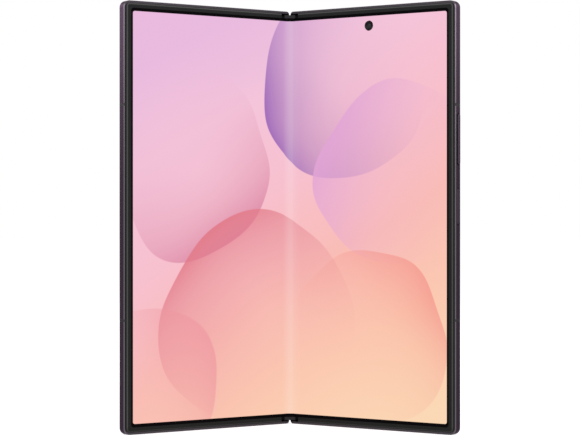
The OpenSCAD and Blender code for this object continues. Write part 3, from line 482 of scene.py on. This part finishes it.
def lit_display():
    finish = Finish("lit_display", Base_Color=tone(5, 4, 5), Emission_Strength=1.0, Specular_IOR_Level=0.02)
    flat = finish.add("ShaderNodeUVMap", {"uv_map": "sheet"}, {})
    spread = finish.add("ShaderNodeMapping", {}, {"Vector": flat, "Scale": (UV_SPAN, UV_SPAN, 1)})
    split = finish.add("ShaderNodeSeparateXYZ", {}, {0: spread})
    # Slow noise bends the wash and the petals by up to 13 mm across and 11 mm up.
    across = split + (grain(finish, spread, 60, 1) - 0.5) * 26
    up = split.output(1) + (grain(finish, spread, 75, 1) - 0.5) * 22
    # The wash rises over 150 mm, up and to the left.
    wash = (up * 0.78 - across * 0.42 + 20) / 150
    picture = finish.ramp(
        wash, (0.0, tone(251, 216, 181)), (0.22, tone(251, 200, 176)), (0.42, tone(249, 188, 182)),
        (0.62, tone(247, 192, 206)), (0.82, tone(244, 196, 218)), (1.0, tone(233, 186, 222)))
    # Each petal's centre, radius, the way it leans in degrees, tint and weight.
    petals = (
        ((24, 132), 37, 205, tone(160, 108, 186), 1.0),
        ((46, 96), 33, 160, tone(226, 164, 214), 0.9),
        ((-44, 98), 35, 300, tone(214, 124, 160), 0.85),
        ((-12, 40), 41, 125, tone(226, 122, 136), 0.95),
        ((36, 34), 34, 40, tone(244, 150, 140), 0.8),
        ((-60, 20), 30, 20, tone(238, 150, 160), 0.7))
    for centre, radius, lean, tint, weight in petals:
        picture = petal(finish, picture, across, up, centre, radius, lean, tint, weight)
    # The crease's painted highlight spans from 5 mm left to 7 mm right of the fold.
    crease_highlight = finish.ramp((split + 5) / 12, (0.13, grey(0)), (0.4, grey(1)), (0.5, grey(1)),
                         (0.57, grey(0.5)), (0.85, grey(0)))
    # Painted highlight along the crease.
    picture = finish.blend(crease_highlight * 0.11, picture, grey(1))
    border = box_distance(split, split.output(1) - ACTIVE_MIDDLE, ACTIVE_HALF_WIDTH, ACTIVE_HALF_HEIGHT,
                          ACTIVE_RADIUS)
    finish.feed("Emission Color", finish.blend((border * 20 + 1).limited(), picture, tone(2, 1, 2)))
    ripple = grain(finish, spread, 9, 2)
    finish.feed("Roughness", 0.2 + ripple * 0.06)
    finish.bump(crease_highlight * ripple, 0.00004)
    return finish.material


display_light = lit_display()
print("display picture spans", 2 * ACTIVE_HALF_WIDTH, "by", 2 * ACTIVE_HALF_HEIGHT, "mm")

# %% [markdown]
# ## Glass
# The cover screen is off, so it is a sheet of polished black glass: deep colour, very low roughness, and
# faint wipe marks that only show in the reflection. The back glass is etched, so it scatters light
# through a fine sparkling grain and keeps the violet grey of the frame.

# %% Glass finishes
def black_glass():
    finish = Finish("cover_glass", Base_Color=tone(14, 13, 16), Specular_IOR_Level=0.5, Coat_Weight=0.6)
    wipe = grain(finish, mapped(finish, Rotation=(0.3, 0, 0.5), Scale=(240, 240, 30)), 1, 4)
    finish.feed("Base Color", finish.blend(wipe, tone(10, 10, 12), tone(20, 18, 22)))
    finish.feed("Roughness", 0.04 + wipe * 0.09)
    return finish.material


def etched_glass():
    finish = Finish("etched_glass", Specular_IOR_Level=0.6, Metallic=0.35)
    point = in_mm(finish)
    spark = grain(finish, point, 0.07, 0)
    cloud = grain(finish, point, 18, 3)
    finish.feed("Base Color", finish.blend(spark * 0.5 + cloud * 0.5, tone(58, 51, 60), tone(84, 74, 87)))
    finish.feed("Roughness", 0.36 + spark * 0.12 + cloud * 0.05)
    finish.bump(spark, 0.000005)
    return finish.material


cover_black = black_glass()
back_etched = etched_glass()
print("glass:", cover_black.name, back_etched.name)

# %% [markdown]
# ## Turned and wound parts
# Lens rings are turned on a lathe, and lenses carry a thin coating whose colour changes with the radius.
# Each spun mesh stores its distance from its own axis in an attribute, so one finish fits every copy.
# The charging coil is a flat winding, and its strands are rings about the coil's middle.

# %% Finishes that follow a radius
def from_axis(finish):
    """The radius, in millimetres, that spin_profile() stores in the mesh."""
    return finish.add("ShaderNodeAttribute", {"attribute_name": "from_axis"}, {}, 2)


def lens_ring():
    finish = Finish("lens_ring", Metallic=1.0)
    radius = from_axis(finish)
    groove = (radius * 60).calc("SINE") * 0.5 + 0.5
    cloud = grain(finish, in_mm(finish), 3)
    finish.feed("Base Color", finish.blend(cloud, tone(66, 59, 68), tone(92, 83, 94)))
    finish.feed("Roughness", 0.22 + groove * 0.08 + cloud * 0.05)
    finish.bump(groove, 0.000003)
    return finish.material


def coated_lens():
    finish = Finish("coated_lens", Specular_IOR_Level=0.7, Coat_Weight=1.0, Coat_Roughness=0.02)
    radius = from_axis(finish)
    colour = finish.ramp(
        radius / 5, (0.0, tone(10, 12, 22)), (0.2, tone(26, 30, 62)), (0.3, tone(46, 32, 74)),
        (0.4, tone(20, 44, 58)), (0.47, tone(8, 8, 10)), (0.6, tone(16, 16, 18)), (0.63, tone(44, 42, 46)),
        (0.66, tone(12, 12, 13)), (1.0, tone(6, 6, 7)))
    finish.feed("Base Color", colour)
    finish.feed("Roughness", 0.05 + grain(finish, in_mm(finish), 2) * 0.05)
    return finish.material


def wound_copper():
    finish = Finish("wound_copper", Metallic=1.0, Coat_Weight=0.4)
    low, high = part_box("charging_coil")
    shift = [-MM * (a + b) / 2 for a, b in zip(low, high)]
    centred = mapped(finish, Location=shift, Scale=(MM, MM, MM))
    reach = finish.add("ShaderNodeVectorMath", {"operation": "LENGTH"}, {0: centred}, 1)
    strand = (reach * 16).calc("SINE") * 0.5 + 0.5
    finish.feed("Base Color", finish.blend(strand, tone(96, 48, 26), tone(206, 130, 84)))
    finish.feed("Roughness", 0.3 + strand * 0.1)
    finish.bump(strand, 0.00003)
    return finish.material


ring_metal = lens_ring()
lens_coating = coated_lens()
coil_copper = wound_copper()
print("radius finishes:", ring_metal.name, lens_coating.name, coil_copper.name)

# %% [markdown]
# ## Parts inside
# They only show through the openings, or when the phone is taken apart, so their solids stay and get
# finishes that name them at a glance: solder mask with paler tracks, stamped sheet, black battery wrap,
# bright nickel.

# %% Inner finishes
def circuit_board():
    finish = Finish("circuit_board", Coat_Weight=0.5)
    point = in_mm(finish)
    settings = {"feature": "DISTANCE_TO_EDGE"}
    cells = finish.add("ShaderNodeTexVoronoi", settings, {"Vector": point, "Scale": 0.9})
    track = (0.06 - cells).mask(30)
    finish.feed("Base Color", finish.blend(track, tone(12, 44, 34), tone(46, 110, 76)))
    finish.feed("Roughness", 0.34 + grain(finish, point, 1.5) * 0.12)
    finish.bump(track, 0.00002)
    return finish.material


board_mask = circuit_board()
battery_wrap = moulded("battery_wrap", tone(34, 34, 38), 0.36)
stamped_sheet = polished("stamped_sheet", tone(190, 190, 192), 0.3)
bright_nickel = polished("bright_nickel", tone(200, 199, 196), 0.14)
camera_black = moulded("camera_black", tone(20, 20, 21), 0.3)
contact_gold = polished("contact_gold", tone(226, 178, 92), 0.2)
print("inner finishes:", board_mask.name, battery_wrap.name, stamped_sheet.name, contact_gold.name)

# %% [markdown]
# ## Dress the CAD nodes
# A node whose shape is right keeps its mesh. Its object only gets a material in its slot, in one table
# that reads like a parts list.

# %% Finish of every node
node_finish = {
    "spine_cover": spine_metal, "hinge_end_caps": cap_plastic, "hinge_brackets": steel,
    "bracket_screws": steel, "display_fold": display_light,
    "left_arms": steel, "left_shafts": steel, "left_washers": bright_nickel, "left_idlers": steel,
    "right_arms": steel, "right_shafts": steel, "right_washers": bright_nickel, "right_idlers": steel,
    "left_frame": frame_metal["left"], "left_bezel": rim["left"], "left_display": display_light,
    "left_antenna_bands": antenna_plastic["left"], "left_rotators": steel, "left_rotator_screws": steel,
    "left_battery": battery_wrap, "left_magnets": bright_nickel, "cover_display": camera_black,
    "cover_glass": cover_black, "cover_camera": camera_black, "top_speaker": module_plastic,
    "vibration_motor": stamped_sheet, "card_reader": stamped_sheet, "card_tray": frame_metal["left"],
    "right_frame": frame_metal["right"], "right_bezel": rim["right"], "right_display": display_light,
    "right_antenna_bands": antenna_plastic["right"], "right_rotators": steel, "right_rotator_screws": steel,
    "right_battery": battery_wrap, "right_magnets": bright_nickel, "charging_coil": coil_copper,
    "main_board": board_mask, "shield_cans": stamped_sheet, "inner_camera": camera_black,
    "rear_cameras": camera_black, "back_glass": back_etched, "camera_island": island_metal,
    "lens_rings": ring_metal, "lens_glasses": lens_coating, "flash_window": module_plastic,
    "sub_board": board_mask, "port_shell": stamped_sheet, "port_tongue": module_plastic,
    "bottom_speaker": module_plastic, "key_switches": board_mask, "volume_key": key_metal,
    "power_key": key_metal}
for node, material in node_finish.items():
    node_object = frame["nodes"][node]
    node_object.data.materials.clear()
    node_object.data.materials.append(material)
print(len(node_finish), "of", len(frame["nodes"]), "nodes have a finish")

# %% [markdown]
# ## Tools for new pieces
# A new piece starts as one flat face with its corners bevelled to the real radii. Extruding it gives the
# solid and bevelling its rim gives the soft edge, so no list of points is worked out by hand. Round
# parts are a profile spun about the depth axis. Every piece ends in finish_piece(), which turns it into
# place, points its faces outwards, marks sharp edges and rides it on its body.

# %% Outline, depth, soft edges, spinning
SHARP = math.radians(35)
CORNER_STEPS = 8
SAME_PLACE = 1e-4
# The corners of a pill stay this much short of half its width, so that they don't meet.
PILL_GAP = 0.001


def outline_face(bm, corners, radii):
    points = [bm.verts.new((x, 0, z)) for x, z in corners]
    bm.faces.new(points)
    for radius in sorted(set(radii) - {0}):
        chosen = [point for point, own in zip(points, radii) if own == radius]
        bmesh.ops.bevel(bm, geom=chosen, offset=radius, offset_type="OFFSET", segments=CORNER_STEPS,
                        affect="VERTICES", profile=0.5, material=-1)


def rectangle(x0, x1, z0, z1):
    return ((x0, z0), (x1, z0), (x1, z1), (x0, z1))


def deepen(bm, front, back):
    """Makes the flat face a solid between two depths."""
    bmesh.ops.translate(bm, vec=(0, front, 0), verts=bm.verts)
    grown = bmesh.ops.extrude_face_region(bm, geom=bm.faces[:])["geom"]
    moved = [item for item in grown if isinstance(item, bmesh.types.BMVert)]
    bmesh.ops.translate(bm, vec=(0, back - front, 0), verts=moved)


def soften(bm, depth, width, segments=4):
    """Bevels the outline's edges that lie at a depth."""
    edges = [edge for edge in bm.edges
             if all(abs(vert.co.y - depth) < SAME_PLACE for vert in edge.verts)
             and edge.calc_face_angle(0) > 1]
    bmesh.ops.bevel(bm, geom=edges, offset=width, offset_type="OFFSET", segments=segments, affect="EDGES",
                    profile=0.5, material=-1, clamp_overlap=True)


def spin_profile(bm, profile, x, z, steps=72):
    """Spins a closed profile of (radius, depth) pairs about the depth axis through x, z."""
    layer = bm.verts.layers.float.get("from_axis") or bm.verts.layers.float.new("from_axis")
    points = [bm.verts.new((x + radius, depth, z)) for radius, depth in profile]
    for point, (radius, _) in zip(points, profile):
        point[layer] = radius
    edges = [bm.edges.new(pair) for pair in zip(points, points[1:])]
    if profile[0][0] > 0:
        edges.append(bm.edges.new((points[-1], points[0])))
    bmesh.ops.spin(bm, geom=points + edges, cent=(x, 0, z), axis=(0, 1, 0), dvec=(0, 0, 0),
                   angle=2 * math.pi, steps=steps, use_merge=True)
    bmesh.ops.remove_doubles(bm, verts=bm.verts, dist=1e-5)


def finish_piece(bm, name, side, material, body, replaced=(), weighted=True):
    """Turns a mesh that was made in a half's flat frame into a piece of the phone."""
    bmesh.ops.transform(bm, matrix=place[side], verts=bm.verts)
    bmesh.ops.recalc_face_normals(bm, faces=bm.faces)
    for face in bm.faces:
        face.smooth = True
    for edge in bm.edges:
        edge.smooth = edge.calc_face_angle(0) < SHARP
    mesh = bpy.data.meshes.new(name)
    bm.to_mesh(mesh)
    bm.free()
    mesh.materials.append(material)
    piece = bpy.data.objects.new(name, mesh)
    bpy.context.collection.objects.link(piece)
    if weighted:
        modifier = piece.modifiers.new("flat_faces_stay_flat", "WEIGHTED_NORMAL")
        modifier.keep_sharp = True
    if body:
        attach(piece, body)
    if replaced:
        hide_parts(*replaced)
    print(name, len(mesh.polygons), "faces on", body or "two bodies")
    return piece


# %% [markdown]
# ## Raised rim
# On the real phone each half carries a soft rim on three sides of the display. It stops beside the fold,
# so that the halves can close. The CAD bezel has square edges, which look hard and thin in raking light,
# so the front edges of the new rim are rounded.

# %% Rims
RIM_FOLD_X = 4.07
RIM_FOLD_RADIUS = 0.25
RIM_IN = 68.6
RIM_IN_LOW = 2.7
RIM_IN_RADIUS = 1.05
RIM_BACK = 0.84
RIM_SOFT = 0.22

for side in place:
    bm = bmesh.new()
    low, high = RIM_LOW, HEIGHT - RIM_LOW
    in_low, in_high = RIM_IN_LOW, HEIGHT - RIM_IN_LOW
    outline_face(
        bm,
        ((RIM_FOLD_X, low), (RIM_OUT, low), (RIM_OUT, high), (RIM_FOLD_X, high), (RIM_FOLD_X, in_high),
         (RIM_IN, in_high), (RIM_IN, in_low), (RIM_FOLD_X, in_low)),
        (RIM_FOLD_RADIUS, RIM_RADIUS, RIM_RADIUS, RIM_FOLD_RADIUS,
         RIM_FOLD_RADIUS, RIM_IN_RADIUS, RIM_IN_RADIUS, RIM_FOLD_RADIUS))
    deepen(bm, 0, RIM_BACK)
    soften(bm, 0, RIM_SOFT)
    finish_piece(bm, "rim_" + side, side, rim[side], side + "_half", [side + "_bezel"])

# %% [markdown]
# ## The bending display
# One sheet runs over both halves on the real phone. Here it is two meshes that meet on the fold line,
# each bent between its half and the hinge as at rest. The sheet starts flat. Where it bends it is thinner,
# cut from the back, so that it clears the hinge's arms when the phone closes.

# %% Display sheets
SHEET_LOW = 2.75
SHEET_OUT = 68.55
SHEET_FRONT = 0.25
SHEET_BACK = 0.83
BEND_END = 2.6
BEND_CUT = 0.2
CUTS_END = BEND_END + 1
THIN_END = BEND_END + 0.5
THIN_BACK = 0.5
SETTLE_STEPS = 40
EYE = (35.1, 151.1)
EYE_HOLE = 1.95


def share_of_turn(x, depth):
    """Settles the share w for which the turned point's place along X gives w again."""
    share = 0.5
    for _ in range(SETTLE_STEPS):
        turn = share * rest_turn
        along = FOLD_AXIS.x + (x - FOLD_AXIS.x) * math.cos(turn) + (depth - FOLD_AXIS.y) * math.sin(turn)
        reach = min(max(along / BEND_END, 0), 1)
        share = reach * reach * (3 - 2 * reach)
    return share


def sheet(side):
    """Half of the display, cut across near the fold and bent as it is at rest."""
    bm = bmesh.new()
    outline_face(bm, rectangle(0, SHEET_OUT, SHEET_LOW, HEIGHT - SHEET_LOW),
                 (0, RIM_IN_RADIUS, RIM_IN_RADIUS, 0))
    if side == "right":
        boundary = bm.edges[:]
        bmesh.ops.delete(bm, geom=bm.faces[:], context="FACES_ONLY")
        where = Matrix.Translation((EYE[0], 0, EYE[1])) @ Matrix.Rotation(math.pi / 2, 4, "X")
        hole = bmesh.ops.create_circle(bm, cap_ends=False, radius=EYE_HOLE, segments=48, matrix=where)
        ring = {edge for vert in hole["verts"] for edge in vert.link_edges}
        bmesh.ops.triangle_fill(bm, use_beauty=True, use_dissolve=False, edges=boundary + list(ring))
    cut = BEND_CUT
    while cut < CUTS_END:
        geometry = bm.verts[:] + bm.edges[:] + bm.faces[:]
        bmesh.ops.bisect_plane(bm, geom=geometry, dist=1e-6, plane_co=(cut, 0, 0), plane_no=(1, 0, 0))
        cut += BEND_CUT
    deepen(bm, SHEET_FRONT, SHEET_BACK)
    flat = bm.loops.layers.uv.new("sheet")
    for face in bm.faces:
        for loop in face.loops:
            loop[flat].uv = (SIGN[side] * loop.vert.co.x / UV_SPAN, loop.vert.co.z / UV_SPAN)
    for vert in bm.verts:
        if vert.co.x < THIN_END:
            vert.co.y = min(vert.co.y, THIN_BACK)
        missing = rest_turn * (1 - share_of_turn(vert.co.x, vert.co.y))
        vert.co = Matrix.Rotation(missing, 4, "Z") @ (vert.co - FOLD_AXIS) + FOLD_AXIS
    return bm


for side, replaced in (("left", ["left_display", "display_fold"]), ("right", ["right_display"])):
    piece = finish_piece(sheet(side), "display_sheet_" + side, side, display_light,
                         None, replaced, weighted=False)
    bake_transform(piece)

# %% [markdown]
# ## Inner camera
# A small camera looks through a hole in the display. What shows is a black ring, a short cone and a
# coated lens. The piece is one spun profile. Its front sits just below the display's surface and its
# body reaches back into the half.

# %% Inner camera
DECK_BACK = 1.2
EYE_BACK = 3.6
EYE_PROFILE = ((0, 0.52), (0.4, 0.54), (0.75, 0.6), (0.85, 0.68), (1.15, 0.6), (1.2, 0.42), (1.3, 0.37),
               (1.78, 0.35), (1.8, 0.4), (1.8, DECK_BACK), (3.4, DECK_BACK), (3.4, EYE_BACK), (0, EYE_BACK))


def eye_glass():
    finish = Finish("eye_glass", Specular_IOR_Level=0.15)
    radius = from_axis(finish)
    finish.feed("Base Color", finish.ramp(
        radius / 2, (0.0, tone(30, 33, 38)), (0.2, tone(36, 38, 40)), (0.38, tone(34, 35, 36)),
        (0.44, tone(9, 5, 8)), (1.0, tone(9, 5, 8))))
    finish.feed("Roughness", 0.08 + grain(finish, in_mm(finish), 2) * 0.05)
    return finish.material


bm = bmesh.new()
spin_profile(bm, EYE_PROFILE, *EYE, steps=48)
finish_piece(bm, "inner_eye", "right", eye_glass(), "right_half", ["inner_camera"])

# %% [markdown]
# ## Cover side
# The left half's outer face is a full pane of black glass with a small camera near its top. The pane
# gets the rounded edge that cover glass has, which a square CAD edge can't show.

# %% Cover pane and its camera
GLASS_FRONT = 3.8
PANE_X = 3.05
PANE_RIM = 0.85
PANE_RADIUS = 1.65
PANE_SOFT = 0.18
COVER_EYE = (37, 149.4)
COVER_EYE_PROFILE = ((0, 4.204), (0.9, 4.206), (1.0, 4.202), (1.5, 4.202), (1.6, 4.207), (1.75, 4.207),
                     (1.9, 4.2), (1.9, 4.1), (0, 4.1))


def pane(name, side, material, replaced):
    bm = bmesh.new()
    corners = rectangle(PANE_X, HALF_WIDTH - PANE_RIM, PANE_RIM, HEIGHT - PANE_RIM)
    outline_face(bm, corners, (PANE_RADIUS,) * 4)
    deepen(bm, GLASS_FRONT, THICKNESS)
    soften(bm, THICKNESS, PANE_SOFT)
    finish_piece(bm, name, side, material, side + "_half", replaced)


pane("cover_pane", "left", cover_black, ["cover_glass"])
bm = bmesh.new()
spin_profile(bm, COVER_EYE_PROFILE, *COVER_EYE, steps=48)
finish_piece(bm, "cover_eye", "left", lens_coating, "left_half")

# %% [markdown]
# ## Back glass and camera island
# The right half's outer face is etched glass, and a pill-shaped metal island stands on it with three
# lenses in a row. The island's edge is rounded, each lens has a turned ring, and inside the ring a black
# cone leads down to a domed lens.

# %% Back, island, rings and lenses
# Depths here are measured from the front of the rim, so the back of the phone is at THICKNESS.
ISLAND_X = 59.5
ISLAND_HALF = 8.5
ISLAND_FOOT = 4.15
ISLAND_TOP = 6.0
ISLAND_SOFT = 0.55
LENS_HEIGHTS = (140.4, 124.9, 109.4)
RING_PROFILE = ((4.65, 5.98), (4.65, 6.5), (4.72, 6.6), (4.9, 6.66), (5.1, 6.69), (6.1, 6.7), (6.26, 6.66),
                (6.36, 6.56), (6.4, 6.4), (6.4, 5.98))
LENS_PROFILE = ((0, 6.3), (0.7, 6.28), (1.3, 6.22), (1.8, 6.12), (2.15, 6.02), (2.3, 6.01), (2.4, 6.06),
                (2.5, 6.1), (3.0, 6.14), (3.05, 6.2), (3.3, 6.22), (3.4, 6.28), (4.4, 6.4), (4.64, 6.42),
                (4.64, 6.005), (0, 6.005))

pane("back_pane", "right", back_etched, ["back_glass"])

bm = bmesh.new()
corners = rectangle(ISLAND_X - ISLAND_HALF, ISLAND_X + ISLAND_HALF, min(LENS_HEIGHTS) - ISLAND_HALF,
                    max(LENS_HEIGHTS) + ISLAND_HALF)
outline_face(bm, corners, (ISLAND_HALF - PILL_GAP,) * 4)
deepen(bm, ISLAND_FOOT, ISLAND_TOP)
soften(bm, ISLAND_TOP, ISLAND_SOFT, 5)
finish_piece(bm, "island", "right", island_metal, "right_half", ["camera_island"])

bm = bmesh.new()
for height in LENS_HEIGHTS:
    spin_profile(bm, RING_PROFILE, ISLAND_X, height)
finish_piece(bm, "lens_rims", "right", ring_metal, "right_half", ["lens_rings"])
bm = bmesh.new()
for height in LENS_HEIGHTS:
    spin_profile(bm, LENS_PROFILE, ISLAND_X, height)
finish_piece(bm, "lenses", "right", lens_coating, "right_half", ["lens_glasses"])

# %% [markdown]
# ## Flash
# The flash sits beside the top lens under a small window whose rings spread the light. The rings are
# real grooves in the spun profile, because they catch light from every side.

# %% Flash window
FLASH = (48.0, 140.4)
RINGS = [(0.12 * step, 4.24 if step % 2 else 4.21) for step in range(1, 13)]
FLASH_PROFILE = ((0, 4.215), *RINGS, (1.55, 4.25), (1.66, 4.25), (1.7, 4.21), (1.7, 3.9), (0, 3.9))


def flash_diffuser():
    finish = Finish("flash_diffuser", Coat_Weight=1.0, Specular_IOR_Level=0.6)
    radius = from_axis(finish)
    finish.feed("Base Color", finish.ramp(
        radius / 1.7, (0.0, tone(250, 226, 130)), (0.45, tone(244, 226, 170)), (0.6, tone(228, 224, 212)),
        (1.0, tone(206, 204, 200))))
    finish.feed("Roughness", 0.16 + grain(finish, in_mm(finish), 0.5) * 0.1)
    return finish.material


bm = bmesh.new()
spin_profile(bm, FLASH_PROFILE, *FLASH, steps=48)
finish_piece(bm, "flash_lens", "right", flash_diffuser(), "right_half", ["flash_window"])

# %% [markdown]
# ## Keys
# The volume key stands a little proud of the side wall and the power key lies flush. Both are pills with
# softly rounded edges, made flat like the other pieces and then swapped from depth to side. Their places
# come from the same table that the painted shade at the key gaps in the frame's finish follows.

# %% Volume and power keys
KEY_FOOT = 69.5
KEY_SOFT = 0.2
DEPTH_TO_SIDE = Matrix(((0, 1, 0, 0), (1, 0, 0, 0), (0, 0, 1, 0), (0, 0, 0, 1)))

for name, (height, length, top) in KEYS.items():
    bm = bmesh.new()
    corners = rectangle(MIDDLE_DEPTH - KEY_WIDTH / 2, MIDDLE_DEPTH + KEY_WIDTH / 2, height - length / 2,
                        height + length / 2)
    outline_face(bm, corners, (KEY_WIDTH / 2 - PILL_GAP,) * 4)
    deepen(bm, KEY_FOOT, top)
    soften(bm, top, KEY_SOFT)
    bmesh.ops.transform(bm, matrix=DEPTH_TO_SIDE, verts=bm.verts)
    node = name.replace("_cap", "_key")
    finish_piece(bm, name, "right", key_metal, node, [node])

# %% [markdown]
# ## Port contacts
# Inside the charging port two rows of gold contacts lie on the tongue. They are small bars, and only
# their outer ends get a bevel, where the plug slides on.

# %% Gold contacts
PORT_X = 37
TONGUE_FACE = 0.35
CONTACTS = 12
PITCH = 0.5
CONTACT_WIDTH = 0.26
CONTACT_THICK = 0.06
CONTACT_LENGTH = 3.4
CONTACT_RISE = 0.02
CONTACT_MIDDLE = 3.4
CONTACT_END = CONTACT_MIDDLE - CONTACT_LENGTH / 2

bm = bmesh.new()
for row in (-1, 1):
    for count in range(CONTACTS):
        x = PORT_X + (count - (CONTACTS - 1) / 2) * PITCH
        y = MIDDLE_DEPTH + row * (TONGUE_FACE + CONTACT_RISE)
        where = Matrix.Translation((x, y, CONTACT_MIDDLE))
        stretch = Matrix.Diagonal((CONTACT_WIDTH, CONTACT_THICK, CONTACT_LENGTH, 1))
        made = bmesh.ops.create_cube(bm, size=1, matrix=where @ stretch)
        ends = {edge for vert in made["verts"] for edge in vert.link_edges
                if all(abs(end.co.z - CONTACT_END) < SAME_PLACE for end in edge.verts)}
        bmesh.ops.bevel(bm, geom=list(ends), offset=0.02, segments=1, affect="EDGES", profile=0.5,
                        material=-1)
finish_piece(bm, "port_contacts", "right", contact_gold, "right_half", weighted=False)

# %% [markdown]
# ## Floor, backdrop and light
# The photograph shows the phone alone on white. The white comes from the floor and the world as the
# camera and reflections see them, not from bright lamps, so the phone is lit at a plain level. The floor
# adds a little shading of its own, which keeps the phone's soft shadow.

# %% Floor
FLOOR_GLOW = 0.72


def seen_by_rays(nodes, links):
    """1 for rays that show the background: from the camera, from gloss and through glass."""
    path = nodes.new("ShaderNodeLightPath")
    first = nodes.new("ShaderNodeMath")
    first.operation = "MAXIMUM"
    links.new(path.outputs["Is Camera Ray"], first.inputs[0])
    links.new(path.outputs["Is Glossy Ray"], first.inputs[1])
    both = nodes.new("ShaderNodeMath")
    both.operation = "MAXIMUM"
    links.new(first.outputs[0], both.inputs[0])
    links.new(path.outputs["Is Transmission Ray"], both.inputs[1])
    return both.outputs[0]


def studio_floor():
    material = bpy.data.materials.new("studio_floor")
    material.use_nodes = True
    nodes, links = material.node_tree.nodes, material.node_tree.links
    nodes.clear()
    plain = nodes.new("ShaderNodeBsdfDiffuse")
    plain.inputs["Color"].default_value = grey(0.8)
    glow = nodes.new("ShaderNodeEmission")
    glow.inputs["Strength"].default_value = FLOOR_GLOW
    shaded = nodes.new("ShaderNodeBsdfDiffuse")
    shaded.inputs["Color"].default_value = grey(0.6)
    seen = nodes.new("ShaderNodeAddShader")
    links.new(glow.outputs[0], seen.inputs[0])
    links.new(shaded.outputs[0], seen.inputs[1])
    mix = nodes.new("ShaderNodeMixShader")
    links.new(seen_by_rays(nodes, links), mix.inputs[0])
    links.new(plain.outputs[0], mix.inputs[1])
    links.new(seen.outputs[0], mix.inputs[2])
    links.new(mix.outputs[0], nodes.new("ShaderNodeOutputMaterial").inputs[0])
    return material


bm = bmesh.new()
bmesh.ops.create_grid(bm, x_segments=2, y_segments=2, size=6)
floor_mesh = bpy.data.meshes.new("floor")
bm.to_mesh(floor_mesh)
bm.free()
floor_mesh.materials.append(studio_floor())
floor = bpy.data.objects.new("floor", floor_mesh)
bpy.context.collection.objects.link(floor)
print("floor", floor_mesh.materials[0].name)

# %% [markdown]
# ## World and lamps
# The world shows as plain white to the camera and in reflections, and gives the surfaces a little over
# half of that as light. Four softboxes shape the metal: two in front from above, and two from behind
# that light the walls.

# %% World and lamps
WORLD_LIGHT = 0.55
WORLD_SEEN = 1.0

world = bpy.data.worlds.new("studio")
bpy.context.scene.world = world
world.use_nodes = True
world_nodes, world_links = world.node_tree.nodes, world.node_tree.links
background = world_nodes["Background"]
background.inputs["Color"].default_value = grey(1)
level = world_nodes.new("ShaderNodeMapRange")
level.inputs["To Min"].default_value = WORLD_LIGHT
level.inputs["To Max"].default_value = WORLD_SEEN
world_links.new(seen_by_rays(world_nodes, world_links), level.inputs["Value"])
world_links.new(level.outputs[0], background.inputs["Strength"])


def softbox(name, place_at, look_at, size, watts):
    lamp = bpy.data.lights.new(name, "AREA")
    lamp.shape = "RECTANGLE"
    lamp.size, lamp.size_y = size
    lamp.energy = watts
    holder = bpy.data.objects.new(name, lamp)
    holder.location = place_at
    aim = Vector(look_at) - Vector(place_at)
    holder.rotation_euler = aim.to_track_quat("-Z", "Y").to_euler()
    bpy.context.collection.objects.link(holder)


softbox("key_softbox", (0.55, -0.9, 0.56), (0, 0, 0.08), (0.7, 0.7), 5.5)
softbox("fill_softbox", (-0.6, -0.9, 0.56), (0, 0, 0.08), (0.7, 0.7), 3)
softbox("left_softbox", (-0.85, 0.5, 0.45), (0, 0, 0.1), (0.5, 0.5), 4.4)
softbox("right_softbox", (0.85, 0.5, 0.45), (0, 0, 0.1), (0.5, 0.5), 2.7)

scene = bpy.context.scene
scene.view_settings.view_transform = "Standard"
print("view transform:", scene.view_settings.view_transform)
